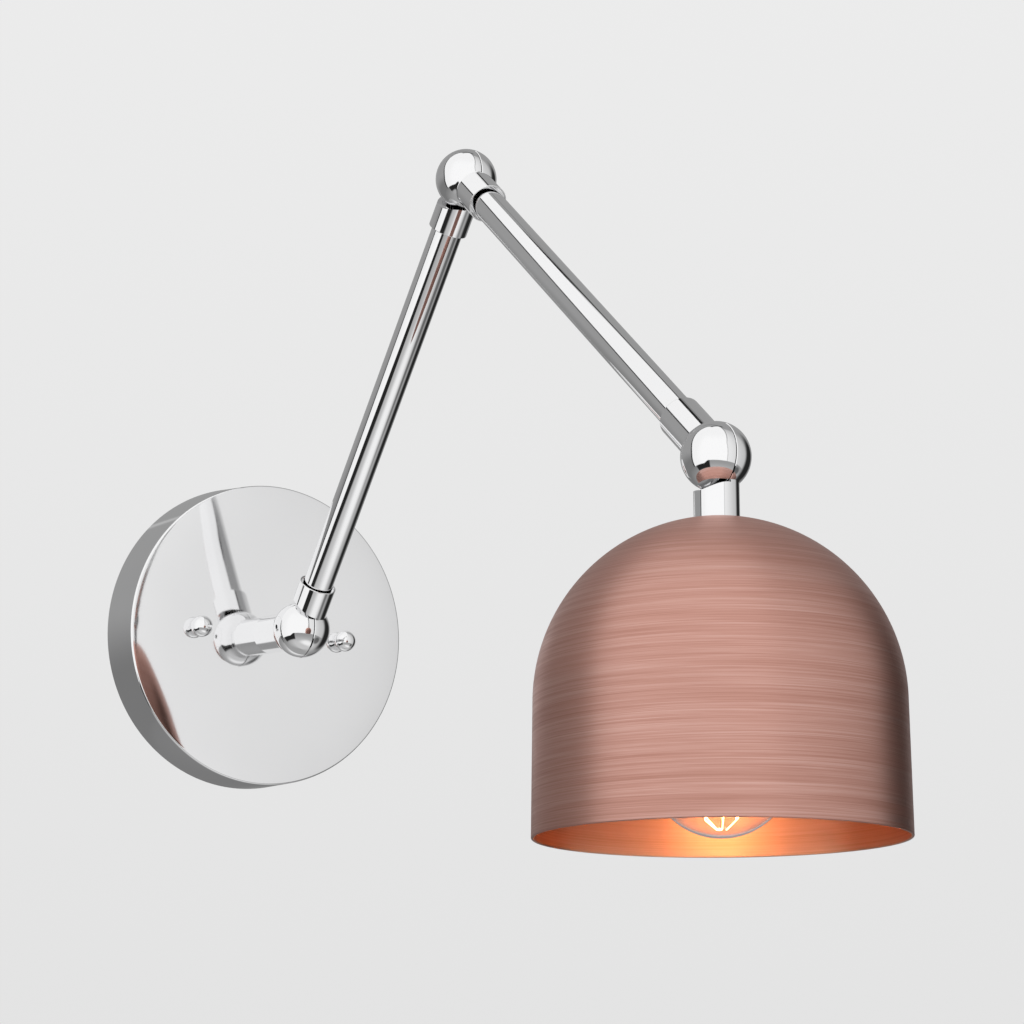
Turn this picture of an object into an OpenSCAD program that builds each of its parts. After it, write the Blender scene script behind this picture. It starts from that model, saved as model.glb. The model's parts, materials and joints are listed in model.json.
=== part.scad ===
// Two-arm wall sconce with three hinged ball joints, a domed metal shade and a clear globe bulb.
// Millimetres, +Z up. The wall is the plane y = 0 and the lamp reaches out along -Y.
// The origin is the middle of the wall strap's back. Every hinge turns about an axis along X.
// Turns are angles about X: 0 points up, 90 away from the wall, 180 down, 270 to the wall.

/* [Canopy] */
// Radius of the canopy's rim at the wall
canopy_rim_r = 66.7; // [62:0.1:80]
// How much smaller the radius is at the face than at the rim
canopy_draft = 1; // [0.2:0.1:3]
// Depth from the wall to the canopy's face
canopy_depth = 23.2; // [20:0.1:36]
// Radius of the rounded edge round the face
canopy_edge_r = 2.8; // [1.6:0.1:5]
// Thickness of the canopy's sheet
canopy_wall = 1.2; // [0.8:0.1:1.5]

/* [Wall strap] */
// Width of the strap
strap_w = 25; // [18:0.5:28]
// Thickness of the strap
strap_t = 2; // [1.5:0.1:3]
// Distance between the two slots for the wall box's screws
box_spacing = 88.9; // [88:0.1:96]
// Width of each slot
slot_w = 4.6; // [4:0.1:5.5]
// Length of each slot from end to end
slot_l = 10; // [7:0.1:10]
// Steel left beyond each slot
strap_end = 4; // [3:0.1:6]
// Radius of the hole for the wires in the strap's middle
strap_hole_r = 7; // [5:0.1:9]
// Distance from the strap's middle to the earth screw
earth_screw_x = 20.5; // [18:0.1:24]

/* [Canopy fixings] */
// Distance between the two studs that hold the canopy
stud_spacing = 70; // [64:0.5:72]
// Thread radius of a stud
stud_r = 2; // [1.6:0.1:2.2]
// Radius of a ball cap nut
cap_nut_r = 4.7; // [4:0.1:7]
// Distance from the canopy's face to the middle of a ball cap nut
cap_nut_reach = 4.4; // [4:0.1:10]
// Radius of the neck under a ball cap nut
cap_nut_neck_r = 2.8; // [2.6:0.1:3.4]

/* [Arms] */
// Outer diameter of the arm tubes
tube_d = 12.7; // [11:0.1:14]
// Wall thickness of the arm tubes
tube_wall = 1.2; // [0.8:0.1:1.4]
// Length of the lower arm between ball middles
lower_arm_l = 212; // [150:1:300]
// Length of the upper arm between ball middles
upper_arm_l = 224; // [150:1:300]
// Rise of the lower arm above the horizontal at rest
lower_arm_rise = 54.6; // [40:0.1:58]
// Drop of the upper arm below the horizontal at rest
upper_arm_drop = 37.2; // [20:0.1:40]
// Tilt of the shade's mouth away from the wall at rest
shade_tilt = 4.5; // [-10:0.1:20]

/* [Ball joints] */
// Diameter of the balls
ball_d = 24.5; // [24:0.1:30]
// Slit between the two halves of a ball
split_gap = 0.3; // [0.2:0.05:0.6]
// Room between a neck's overhang and the other half's equator
turn_gap = 0.75; // [0.4:0.05:1.5]
// Wall left round the wire room at the slit
joint_rim = 3.25; // [3:0.05:3.6]
// Depth of the wire room in each half
room_depth = 5; // [4:0.1:5.2]
// Radius of the boss that carries the pivot screw
boss_r = 5; // [4.6:0.1:5.4]
// Metal between the boss's end and the screw head's pocket
web_t = 1.6; // [1.2:0.1:1.7]
// Radius of the pivot screw's shank
pivot_r = 2.5; // [2:0.05:2.8]
// Radius of the pivot screw's head
pivot_head_r = 3.6; // [3.4:0.05:3.8]
// Radius of the key socket in the head, to its corners
pivot_key_r = 1.75; // [1.2:0.05:2]
// Depth of the key socket
pivot_key_depth = 1.5; // [1:0.05:1.6]
// Height of the pivot screw's head
pivot_head_h = 2.3; // [1.6:0.1:2.3]
// Thickness of the spring washer under the head
spring_t = 0.9; // [0.5:0.05:0.9]
// Thickness of the friction washer between the bosses
friction_t = 0.8; // [0.6:0.05:1.2]
// Radius of the pocket and of the cap that closes it
pivot_cap_r = 4.4; // [4.3:0.05:4.8]
// Thickness of the cap in its middle
pivot_cap_t = 1.8; // [1.5:0.05:1.8]
// Radius of the small hole in the cap
pivot_cap_hole_r = 0.9; // [0.6:0.05:1.2]
// Radius of a stop pin
stop_pin_r = 0.7; // [0.5:0.05:0.75]
// How far a stop pin stands out of its half
stop_pin_reach = 1.2; // [0.9:0.05:1.4]
// Length of a stop pin inside its half
stop_pin_hold = 3; // [2:0.1:3.5]
// Turn from a half's neck to its stop pin
stop_pin_lead = 60; // [50:1:70]

/* [Collars] */
// Length of a short collar from the ball's middle to its mouth
collar_l = 22.5; // [20:0.1:30]
// Length of the collar above the shade
long_collar_l = 28; // [22:0.1:36]
// Distance from the ball's middle to the end of a tube
tube_end = 15.5; // [14.5:0.1:17]
// Depth of the recess round a tube at a collar's mouth
mouth_depth = 3.5; // [2:0.1:3.5]
// Gap round a tube at a collar's mouth
mouth_gap = 1; // [0.5:0.05:1.2]
// Thickness of a collar's lip
lip_t = 0.55; // [0.5:0.05:1.2]
// Radius of the way for the wires through the necks
wire_way_r = 4; // [3.9:0.05:4.2]

/* [Stem and nipples] */
// Radius of the stem
stem_r = 8.25; // [7.8:0.05:9.5]
// Distance from the canopy's face to the first ball's middle
stem_reach = 29.8; // [26:0.1:50]
// Radius of the threaded nipples
nipple_r = 4.8; // [4.6:0.05:5.2]
// Radius of the bore of the nipples
nipple_bore_r = 3.2; // [3.1:0.05:3.6]
// Length of nipple screwed into a stem or neck
nipple_hold = 9; // [7:0.1:9.4]
// Length of a nipple past its lock nut
nipple_end = 1.6; // [1:0.1:3]
// Width across the flats of the lock nuts
lock_nut_af = 15; // [14:0.1:18]
// Height of the lock nuts
lock_nut_h = 3.2; // [2.5:0.1:4]
// Thickness of the lock washers
lock_washer_t = 0.8; // [0.5:0.05:1.2]

/* [Shade] */
// Outer radius of the shade's dome
shade_r = 63; // [55:0.1:90]
// Radius of the flat seat at the top of the dome
shade_seat_r = 12.7; // [10.5:0.1:16]
// Height of the shade
shade_h = 107.5; // [95:0.5:140]
// How much wider the mouth is than the dome, as a radius
shade_flare = 0.6; // [0:0.05:4]
// Thickness of the shade's sheet
shade_wall = 1; // [0.6:0.05:1.5]
// Distance from the last ball's middle down to the shade's seat
shade_drop = 23.3; // [22:0.1:32]
// Radius of the neck that carries the shade
shade_neck_r = 7.9; // [7:0.05:8.5]

/* [Lamp holder] */
// Radius of the holder's body
holder_r = 18.4; // [17.5:0.1:20]
// Length of the holder's body
holder_l = 35; // [32:0.5:38]
// Thickness of the holder's floor
holder_floor = 6; // [4:0.1:7]
// Thickness of the metal cap over the holder
holder_cap_wall = 0.8; // [0.6:0.05:1.2]
// Height of the metal cap over the holder
holder_cap_h = 16; // [14:0.1:20]
// Radius of the cap's rounded shoulder
holder_cap_edge = 7; // [5:0.1:8]
// Room for the wires between the cap and the holder's body
wiring_room = 10; // [8.5:0.1:12]
// Length of the cap's threaded hub
cap_hub_l = 5; // [4:0.1:6]
// Distance from the holder's axis to each terminal screw
terminal_x = 10.5; // [10:0.1:11.5]
// Thread radius of a terminal screw
terminal_r = 1.5; // [1.2:0.05:1.8]
// Radius of a terminal screw's head
terminal_head_r = 2.8; // [2.2:0.1:3]
// Height of a terminal screw's head
terminal_head_h = 2.2; // [1.6:0.1:3]
// Radius of the rivet that holds the contact tongue
rivet_r = 3; // [2:0.1:3.5]
// Thickness of the contact tongue
tongue_t = 0.5; // [0.3:0.05:0.8]
// Width of the contact tongue
tongue_w = 5; // [4:0.1:6]
// Height of the contact tongue over the holder's floor
tongue_h = 6.2; // [5:0.1:8]
// Radius of the screw shell's bore
shell_bore_r = 13.3; // [13.2:0.05:13.6]
// Thickness of the screw shell
shell_t = 0.6; // [0.4:0.05:0.8]

/* [Bulb] */
// Radius of the glass globe
globe_r = 25; // [22:0.1:30]
// Length of the bulb from its contact to the end of the globe
bulb_l = 82.6; // [76:0.1:95]
// Thickness of the glass
glass_t = 0.6; // [0.4:0.05:1]
// Radius of the glass neck
bulb_neck_r = 12.3; // [11:0.1:12.4]
// Radius of the curve between the globe and its neck
bulb_blend_r = 10; // [6:0.1:14]
// Radius of the bulb's screw base
base_r = 13; // [12.8:0.05:13.1]
// Length of the bulb's screw base
base_l = 20; // [17:0.1:22]
// Radius of the contact at the bulb's tip
bulb_contact_r = 4.6; // [4:0.1:6]
// Height of the contact at the bulb's tip
bulb_contact_h = 1.4; // [1:0.1:2]
// Distance from the bulb's tip to its screw base
bulb_tip_h = 4.6; // [3.8:0.1:7]
// Radius of the ridges of the bulb's thread
thread_r = 1; // [0.7:0.05:1.1]
// Distance between the ridges of the bulb's thread
thread_pitch = 3.4; // [3:0.1:4]
// Length of the glass neck inside the screw base
neck_hold = 5; // [3:0.5:8]
// Radius of the glass rod that carries the filament
rod_r = 0.9; // [0.7:0.05:1.1]
// Radius of a filament support
support_r = 0.3; // [0.2:0.02:0.34]
// Radius of the filament wire
filament_r = 0.22; // [0.15:0.01:0.4]
// Number of filament strands
filament_strands = 6; // [4:1:8]

/* [Wires] */
// Radius of an insulated wire
wire_r = 0.9; // [0.7:0.05:1]
// Bend radius of the wires
wire_bend_r = 4; // [3:0.1:6]
// Length of a twist-on wire connector
connector_l = 20; // [16:0.5:24]
// Radius of a wire connector at its mouth
connector_r = 5.4; // [4.8:0.1:6]
// Radius of a wire connector at its closed end
connector_tip_r = 3.2; // [2.6:0.1:4]
// Distance from a connector's middle to the end of each wing
connector_wing = 6.5; // [6.2:0.1:7.5]
// Thickness of a connector's wings
connector_wing_t = 1.6; // [1:0.1:2]
// Depth of a connector's hole for the wires
connector_bore_l = 8; // [6:0.5:12]
// Length of wire inside a connector
connector_grip = 5; // [3:0.5:5.5]

/* [Hidden] */
$fn = 96;
hair = 0.02;                 // clearance of pieces that are screwed or pressed together
run = 0.05;                  // clearance of a running fit or a rubbing face
slack = 0.3;                 // clearance between pieces that move past each other
washer_gap = 0.15;           // clearance of a washer round its screw or nipple
hole_gap = 0.2;              // clearance of a nipple in a sheet's hole
cut = 1;                     // how far a cut runs past the metal
small_fn = 32;

ball_r = ball_d / 2;
room_r = ball_r - joint_rim;
boss_face = friction_t / 2;
pocket_x = room_depth + web_t;
head_x = pocket_x + spring_t;
thread_depth = pocket_x + 0.8;
ring_r = (room_r + ball_r) / 2;
stop_slack = asin((stop_pin_r + slack) / ring_r);
tube_r = tube_d / 2;
collar_r = tube_r + mouth_gap + lip_t;

canopy_face_r = canopy_rim_r - canopy_draft;
strap_l = box_spacing + slot_l + 2 * strap_end;
nipple_tail = canopy_wall + lock_washer_t + lock_nut_h + nipple_end;

// Turns of the necks at each joint
stem_turn = 270;
lower_turn = 90 - lower_arm_rise;
lower_back = lower_turn + 180;
upper_turn = 90 + upper_arm_drop;
upper_back = upper_turn + 180;
shade_turn = 180 - shade_tilt;

// Joint limits from rest: the shoulder and elbow count raising as positive, the shade swinging to the wall
shoulder_limits = [-75, 40];
elbow_limits = [-4, 120];
tilt_limits = [-100, 45];

// Turn from the screw half's neck to the threaded half's neck at rest
shoulder_open = 360 + lower_turn - stem_turn;
elbow_open = lower_back - upper_turn;
tilt_open = upper_back - shade_turn;

// Middles of the three balls
shoulder_y = -(canopy_depth + stem_reach);
elbow_y = shoulder_y - lower_arm_l * cos(lower_arm_rise);
elbow_z = lower_arm_l * sin(lower_arm_rise);
tilt_y = elbow_y - upper_arm_l * cos(upper_arm_drop);
tilt_z = elbow_z - upper_arm_l * sin(upper_arm_drop);

// Depths below the shade's seat
dome_depth = sqrt(pow(shade_r, 2) - pow(shade_seat_r, 2));
cap_top = shade_wall + lock_washer_t;
holder_top = cap_top + holder_cap_wall + wiring_room;
shell_top = holder_top + holder_floor;
shell_r = shell_bore_r + shell_t;
contact_depth = shell_top + tongue_h;
base_top = contact_depth + bulb_tip_h;
globe_depth = contact_depth + bulb_l - globe_r;
neck_top = base_top + base_l - neck_hold;
blend_depth = globe_depth - sqrt(pow(globe_r + bulb_blend_r, 2) - pow(bulb_neck_r + bulb_blend_r, 2));
terminal_l = holder_floor - 2;

// Frames: a neck, tube or shade axis runs along +Z of its frame, away from the ball
module at_shoulder(turn) {
    translate([0, shoulder_y, 0]) rotate([turn, 0, 0]) children();
}

module at_elbow(turn) {
    translate([0, elbow_y, elbow_z]) rotate([turn, 0, 0]) children();
}

module at_tilt(turn) {
    translate([0, tilt_y, tilt_z]) rotate([turn, 0, 0]) children();
}

module swap_sides() {
    mirror([1, 0, 0]) children();
}

// Frame of the canopy: +Z runs from the wall out of the face
module out_of_wall() {
    rotate([90, 0, 0]) children();
}

// Frame below the shade's seat: +Z runs down the shade's axis
module below_seat(depth) {
    at_tilt(shade_turn) translate([0, 0, shade_drop + depth]) children();
}

// A round bar along X from x0 to x1
module x_bar(radius, x0, x1) {
    translate([x0, 0, 0]) rotate([0, 90, 0]) cylinder(r = radius, h = x1 - x0);
}

module x_ring(outer, inner, x0, x1) {
    difference() {
        x_bar(outer, x0, x1);
        x_bar(inner, x0 - cut, x1 + cut);
    }
}

module ring(outer, inner, height) {
    difference() {
        cylinder(r = outer, h = height);
        translate([0, 0, -cut]) cylinder(r = inner, h = height + 2 * cut);
    }
}

// Half of a ball on the -X side with a neck along +Z. The neck is whole, and its overhang
// on the +X side is cut back so that the other half can turn under it.
module half_blank(neck_r, neck_l) {
    difference() {
        union() {
            sphere(r = ball_r);
            cylinder(r = neck_r, h = neck_l);
        }
        x_bar(ball_r + turn_gap, -split_gap / 2, 2 * ball_r);
    }
}

// Ring-shaped room for the wires round the boss, and the way out through the neck
module wire_room(neck_l) {
    x_ring(room_r, boss_r, -room_depth, cut);
    x_bar(boss_r + hair, -boss_face, cut);
    translate([0, 0, (room_r + boss_r) / 2]) cylinder(r = wire_way_r, h = neck_l);
}

// Half with the pocket for the pivot screw's head, and a groove for the other half's stop pin
module screw_half(neck_r, neck_l, groove_from, groove_to) {
    difference() {
        half_blank(neck_r, neck_l);
        wire_room(neck_l);
        x_bar(pivot_r + run, -ball_r, cut);
        x_bar(pivot_cap_r, -ball_r - cut, -pocket_x);
        stop_groove(groove_from - stop_slack, groove_to + stop_slack);
    }
}

module stop_groove(from, to) {
    half_width = stop_pin_r + slack;
    depth = stop_pin_reach + slack;
    rotate([0, 90, 0]) rotate([0, 0, from + 180])
        rotate_extrude(angle = to - from)
            translate([ring_r - half_width, -split_gap / 2 - depth])
                square([2 * half_width, depth + split_gap]);
}

// Half with the threaded hole for the pivot screw, and the stop pin's hole
module thread_half(neck_r, neck_l, pin_turn) {
    difference() {
        half_blank(neck_r, neck_l);
        wire_room(neck_l);
        x_bar(pivot_r, -thread_depth, cut);
        rotate([pin_turn, 0, 0]) translate([0, 0, ring_r]) x_bar(stop_pin_r, -stop_pin_hold, cut);
    }
}

module stop_pin(pin_turn) {
    rotate([pin_turn, 0, 0]) translate([0, 0, ring_r])
        x_bar(stop_pin_r - hair, hair - stop_pin_hold, split_gap / 2 + stop_pin_reach);
}

// Pivot parts, with the screw half on the -X side
module pivot_screw() {
    color("silver") difference() {
        union() {
            x_bar(pivot_head_r, -head_x - pivot_head_h, -head_x - run);
            x_bar(pivot_r - hair, -head_x - run - 0.1, thread_depth - 0.8);
        }
        translate([-head_x - pivot_head_h - cut, 0, 0]) rotate([0, 90, 0])
            cylinder(r = pivot_key_r, h = pivot_key_depth + cut, $fn = 6);
    }
}

module pivot_cap() {
    color("gainsboro") difference() {
        intersection() {
            sphere(r = ball_r);
            x_bar(pivot_cap_r - hair, -ball_r - cut, -ball_r + pivot_cap_t);
        }
        x_bar(pivot_cap_hole_r, -ball_r - cut, 0);
    }
}

module spring_washer() {
    color("silver") x_ring(pivot_head_r + 0.4, pivot_r + washer_gap, -pocket_x - spring_t, -pocket_x);
}

module friction_washer() {
    color("dimgray") x_ring(boss_r - 0.1, pivot_r + washer_gap, -boss_face, boss_face - run);
}

// The collar's seat for a tube, with the recess at its mouth
module tube_socket(neck_l) {
    translate([0, 0, tube_end]) cylinder(r = tube_r + hair, h = neck_l);
    translate([0, 0, neck_l - mouth_depth]) cylinder(r = tube_r + mouth_gap, h = mouth_depth + cut);
}

module arm_tube(arm_l) {
    color("gainsboro") translate([0, 0, tube_end])
        ring(tube_r, tube_r - tube_wall, arm_l - 2 * tube_end);
}

// Two wires along an arm, lying in the necks' wire ways
module arm_wires(arm_l) {
    side = wire_r + 0.25;
    sag = sqrt(pow(wire_way_r - wire_r - 0.2, 2) - pow(side, 2));
    for (s = [-1, 1])
        color(s < 0 ? "black" : "white") translate([s * side, -sag, tube_end - 2.5])
            cylinder(r = wire_r, h = arm_l - 2 * tube_end + 5, $fn = small_fn);
}

// Canopy group
module canopy_shell(radius_cut) {
    rim = canopy_rim_r - radius_cut;
    face = canopy_face_r - radius_cut;
    depth = canopy_depth - radius_cut;
    edge = canopy_edge_r - radius_cut;
    start = radius_cut > 0 ? -cut : 0;
    rotate_extrude() {
        polygon([[0, start], [rim, start], [rim, 0], [face, depth - edge], [face - edge, depth], [0, depth]]);
        translate([face - edge, depth - edge]) intersection() {
            circle(r = edge);
            square(edge + cut);
        }
    }
}

module canopy() {
    color("gainsboro") out_of_wall() difference() {
        canopy_shell(0);
        canopy_shell(canopy_wall);
        cylinder(r = nipple_r + hole_gap, h = canopy_depth + cut);
        for (s = [-1, 1]) translate([s * stud_spacing / 2, 0, 0])
            cylinder(r = stud_r + slack, h = canopy_depth + cut);
    }
}

module wall_strap() {
    color("silver") out_of_wall() difference() {
        translate([-strap_l / 2, -strap_w / 2, 0]) cube([strap_l, strap_w, strap_t]);
        translate([0, 0, -cut]) cylinder(r = strap_hole_r, h = strap_t + 2 * cut);
        translate([earth_screw_x, 0, -cut]) cylinder(r = stud_r + hair, h = strap_t + 2 * cut);
        for (s = [-1, 1]) {
            translate([s * stud_spacing / 2, 0, -cut]) cylinder(r = stud_r + hair, h = strap_t + 2 * cut);
            translate([s * box_spacing / 2, 0, -cut]) strap_slot();
        }
    }
}

module strap_slot() {
    run_l = slot_l - slot_w;
    for (s = [-1, 1]) translate([s * run_l / 2, 0, 0]) cylinder(d = slot_w, h = strap_t + 2 * cut);
    translate([-run_l / 2, -slot_w / 2, 0]) cube([run_l, slot_w, strap_t + 2 * cut]);
}

module canopy_studs() {
    color("silver") out_of_wall() for (s = [-1, 1])
        translate([s * stud_spacing / 2, 0, 0]) cylinder(r = stud_r, h = canopy_depth + cap_nut_reach);
}

module hex_nut(across_flats, height, bore) {
    difference() {
        cylinder(d = across_flats / cos(30), h = height, $fn = 6);
        translate([0, 0, -cut]) cylinder(r = bore, h = height + 2 * cut);
    }
}

module stud_lock_nuts() {
    color("silver") out_of_wall() for (s = [-1, 1])
        translate([s * stud_spacing / 2, 0, strap_t]) hex_nut(3.5 * stud_r, 1.6 * stud_r, stud_r + hair);
}

module ball_cap_nuts() {
    color("gainsboro") out_of_wall() for (s = [-1, 1])
        translate([s * stud_spacing / 2, 0, canopy_depth]) difference() {
            union() {
                cylinder(r = cap_nut_neck_r, h = cap_nut_reach);
                translate([0, 0, cap_nut_reach]) sphere(r = cap_nut_r);
            }
            // Flat foot on the canopy's face
            translate([0, 0, -cap_nut_r]) cylinder(r = 2 * cap_nut_r, h = cap_nut_r);
            translate([0, 0, -cut]) cylinder(r = stud_r + hair, h = cap_nut_reach + cut + 0.5);
        }
}

module earth_screw() {
    color("seagreen") out_of_wall() translate([earth_screw_x, 0, 0]) difference() {
        union() {
            cylinder(r = stud_r, h = strap_t + 1);
            translate([0, 0, strap_t]) cylinder(r = 1.8 * stud_r, h = 1.2 * stud_r);
        }
        translate([-2 * stud_r, -0.5, strap_t + 1.4]) cube([4 * stud_r, 1, 2]);
    }
}

// Stem group
module stem_ball_half() {
    color("gainsboro") at_shoulder(stem_turn) difference() {
        screw_half(stem_r, stem_reach, shoulder_open - shoulder_limits[1] + stop_pin_lead,
            shoulder_open - shoulder_limits[0] + stop_pin_lead);
        translate([0, 0, stem_reach - nipple_hold - 0.5]) cylinder(r = nipple_r + hair, h = nipple_hold + cut);
    }
}

module stem_nipple() {
    color("silver") at_shoulder(stem_turn) translate([0, 0, stem_reach - nipple_hold])
        ring(nipple_r, nipple_bore_r, nipple_hold + nipple_tail);
}

module lock_washer() {
    ring(lock_nut_af / 2, nipple_r + washer_gap, lock_washer_t);
}

module stem_lock_washer() {
    color("silver") at_shoulder(stem_turn) translate([0, 0, stem_reach + canopy_wall]) lock_washer();
}

module stem_lock_nut() {
    color("silver") at_shoulder(stem_turn) translate([0, 0, stem_reach + canopy_wall + lock_washer_t])
        hex_nut(lock_nut_af, lock_nut_h, nipple_r + hair);
}

module shoulder_cap() {
    at_shoulder(stem_turn) pivot_cap();
}

module shoulder_spring_washer() {
    at_shoulder(stem_turn) spring_washer();
}

module shoulder_friction_washer() {
    at_shoulder(stem_turn) friction_washer();
}

// A wire that comes down along -Z to the origin, turns a quarter and goes on along +X
module bent_wire(radius, bend, before, after) {
    cylinder(r = radius, h = before, $fn = small_fn);
    translate([bend, 0, 0]) rotate([-90, 0, 0]) rotate([0, 0, 90])
        rotate_extrude(angle = 90) translate([bend, 0]) circle(r = radius, $fn = small_fn);
    translate([bend, 0, -bend]) rotate([0, 90, 0]) cylinder(r = radius, h = after, $fn = small_fn);
}

// Places of the wires in the canopy: how far each lies off the nipple's axis, and its depths from the wall
wire_lift = 0.6;
wire_side = nipple_bore_r - wire_r - slack - 0.1;
wire_level = strap_t + connector_r + wire_lift;
wire_start = canopy_depth - nipple_tail + 2;
wire_run = 11;
earth_wire_r = wire_r - 0.1;

module canopy_wires() {
    start = wire_start - wire_level - wire_bend_r;
    out_of_wall() {
        for (s = [-1, 1]) color(s < 0 ? "black" : "white")
            translate([s * wire_side, wire_lift, wire_level + wire_bend_r]) rotate([0, 0, s < 0 ? 90 : -90])
                bent_wire(wire_r, wire_bend_r, start, wire_run);
        earth_level = strap_t + earth_wire_r + wire_lift;
        color("seagreen") translate([0, -wire_side, earth_level + wire_bend_r])
            bent_wire(earth_wire_r, wire_bend_r, wire_start - earth_level - wire_bend_r,
                earth_screw_x - 1.8 * stud_r - wire_bend_r - 0.1);
    }
}

module wire_connectors() {
    mouth = wire_bend_r + wire_run - connector_grip;
    color("orange") out_of_wall() for (s = [-1, 1])
        translate([s * wire_side, wire_lift - s * mouth, wire_level]) rotate([s > 0 ? 90 : -90, 0, 0])
            difference() {
                union() {
                    cylinder(r1 = connector_r, r2 = connector_tip_r, h = connector_l);
                    translate([-connector_wing, -connector_wing_t / 2, 0])
                        cube([2 * connector_wing, connector_wing_t, 0.6 * connector_l]);
                }
                translate([0, 0, -cut]) cylinder(r = wire_r + hole_gap, h = connector_bore_l + cut);
            }
}

// Lower arm group
module lower_arm_ball_half() {
    color("gainsboro") at_shoulder(lower_turn) swap_sides() difference() {
        thread_half(collar_r, collar_l, stop_pin_lead);
        tube_socket(collar_l);
    }
}

module shoulder_pivot_screw() {
    at_shoulder(lower_turn) pivot_screw();
}

module shoulder_stop_pin() {
    color("silver") at_shoulder(lower_turn) swap_sides() stop_pin(stop_pin_lead);
}

module lower_arm_tube() {
    at_shoulder(lower_turn) arm_tube(lower_arm_l);
}

module lower_elbow_half() {
    color("gainsboro") at_elbow(lower_back) swap_sides() difference() {
        screw_half(collar_r, collar_l, -(elbow_open + elbow_limits[1] + stop_pin_lead),
            -(elbow_open + elbow_limits[0] + stop_pin_lead));
        tube_socket(collar_l);
    }
}

module elbow_cap() {
    at_elbow(lower_back) swap_sides() pivot_cap();
}

module elbow_spring_washer() {
    at_elbow(lower_back) swap_sides() spring_washer();
}

module elbow_friction_washer() {
    at_elbow(lower_back) swap_sides() friction_washer();
}

module lower_arm_wires() {
    at_shoulder(lower_turn) arm_wires(lower_arm_l);
}

// Upper arm group
module upper_elbow_half() {
    color("gainsboro") at_elbow(upper_turn) difference() {
        thread_half(collar_r, collar_l, -stop_pin_lead);
        tube_socket(collar_l);
    }
}

module elbow_pivot_screw() {
    at_elbow(upper_turn) swap_sides() pivot_screw();
}

module elbow_stop_pin() {
    color("silver") at_elbow(upper_turn) stop_pin(-stop_pin_lead);
}

module upper_arm_tube() {
    at_elbow(upper_turn) arm_tube(upper_arm_l);
}

module upper_arm_end_half() {
    color("gainsboro") at_tilt(upper_back) difference() {
        thread_half(collar_r, long_collar_l, stop_pin_lead);
        tube_socket(long_collar_l);
    }
}

module tilt_pivot_screw() {
    at_tilt(upper_back) swap_sides() pivot_screw();
}

module tilt_stop_pin() {
    color("silver") at_tilt(upper_back) stop_pin(stop_pin_lead);
}

module upper_arm_wires() {
    at_elbow(upper_turn) arm_wires(upper_arm_l);
}

// Shade group
module shade_neck_half() {
    color("gainsboro") at_tilt(shade_turn) swap_sides() difference() {
        screw_half(shade_neck_r, shade_drop, tilt_open - tilt_limits[1] + stop_pin_lead,
            tilt_open - tilt_limits[0] + stop_pin_lead);
        translate([0, 0, shade_drop - nipple_hold - 0.5]) cylinder(r = nipple_r + hair, h = nipple_hold + cut);
    }
}

module tilt_cap() {
    at_tilt(shade_turn) swap_sides() pivot_cap();
}

module tilt_spring_washer() {
    at_tilt(shade_turn) swap_sides() spring_washer();
}

module tilt_friction_washer() {
    at_tilt(shade_turn) swap_sides() friction_washer();
}

// Dome and skirt filled solid; thickness is taken off all round, and the mouth is then cut past
module shade_form(thickness) {
    past = thickness > 0 ? cut : 0;
    intersection() {
        translate([0, 0, dome_depth]) sphere(r = shade_r - thickness);
        translate([0, 0, thickness]) cylinder(r = shade_r + cut, h = dome_depth - thickness + cut);
    }
    translate([0, 0, dome_depth]) cylinder(r1 = shade_r - thickness, r2 = shade_r + shade_flare - thickness,
        h = shade_h - dome_depth);
    if (past > 0) translate([0, 0, shade_h - hair]) cylinder(r = shade_r + shade_flare - thickness, h = past);
}

module shade() {
    color("rosybrown") below_seat(0) difference() {
        shade_form(0);
        shade_form(shade_wall);
        translate([0, 0, -cut]) cylinder(r = nipple_r + hole_gap, h = shade_wall + 2 * cut);
    }
}

module shade_nipple() {
    color("silver") below_seat(-nipple_hold)
        ring(nipple_r, nipple_bore_r, nipple_hold + cap_top + holder_cap_wall + cap_hub_l);
}

module shade_lock_washer() {
    color("silver") below_seat(shade_wall) lock_washer();
}

module cap_form(thickness) {
    outer = holder_r + slack / 2 + holder_cap_wall - thickness;
    edge = holder_cap_edge - thickness;
    height = holder_cap_h;
    past = thickness > 0 ? cut : 0;
    rotate_extrude() {
        polygon([[0, thickness], [outer - edge, thickness], [outer, thickness + edge], [outer, height + past],
            [0, height + past]]);
        translate([outer - edge, thickness + edge]) intersection() {
            circle(r = edge);
            translate([0, -edge]) square(edge);
        }
    }
}

module holder_cap() {
    color("goldenrod") below_seat(cap_top) difference() {
        union() {
            difference() {
                cap_form(0);
                cap_form(holder_cap_wall);
            }
            cylinder(r = nipple_r + 2, h = holder_cap_wall + cap_hub_l);
        }
        translate([0, 0, -cut]) cylinder(r = nipple_r + hair, h = holder_cap_wall + cap_hub_l + 2 * cut);
    }
}

module holder_body() {
    color("black") below_seat(holder_top) difference() {
        cylinder(r = holder_r, h = holder_l);
        translate([0, 0, holder_floor]) cylinder(r = shell_r + hair, h = holder_l);
        translate([0, 0, -cut]) cylinder(r = rivet_r, h = holder_floor + 2 * cut);
        for (s = [-1, 1]) translate([s * terminal_x, 0, -cut])
            cylinder(r = terminal_r + hair, h = terminal_l + cut);
    }
}

module holder_shell() {
    color("goldenrod") below_seat(shell_top) difference() {
        cylinder(r = shell_r, h = holder_l - holder_floor - 1);
        translate([0, 0, shell_t]) cylinder(r = shell_bore_r, h = holder_l);
        translate([0, 0, -cut]) cylinder(r = rivet_r + 4, h = shell_t + 2 * cut);
    }
}

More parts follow.
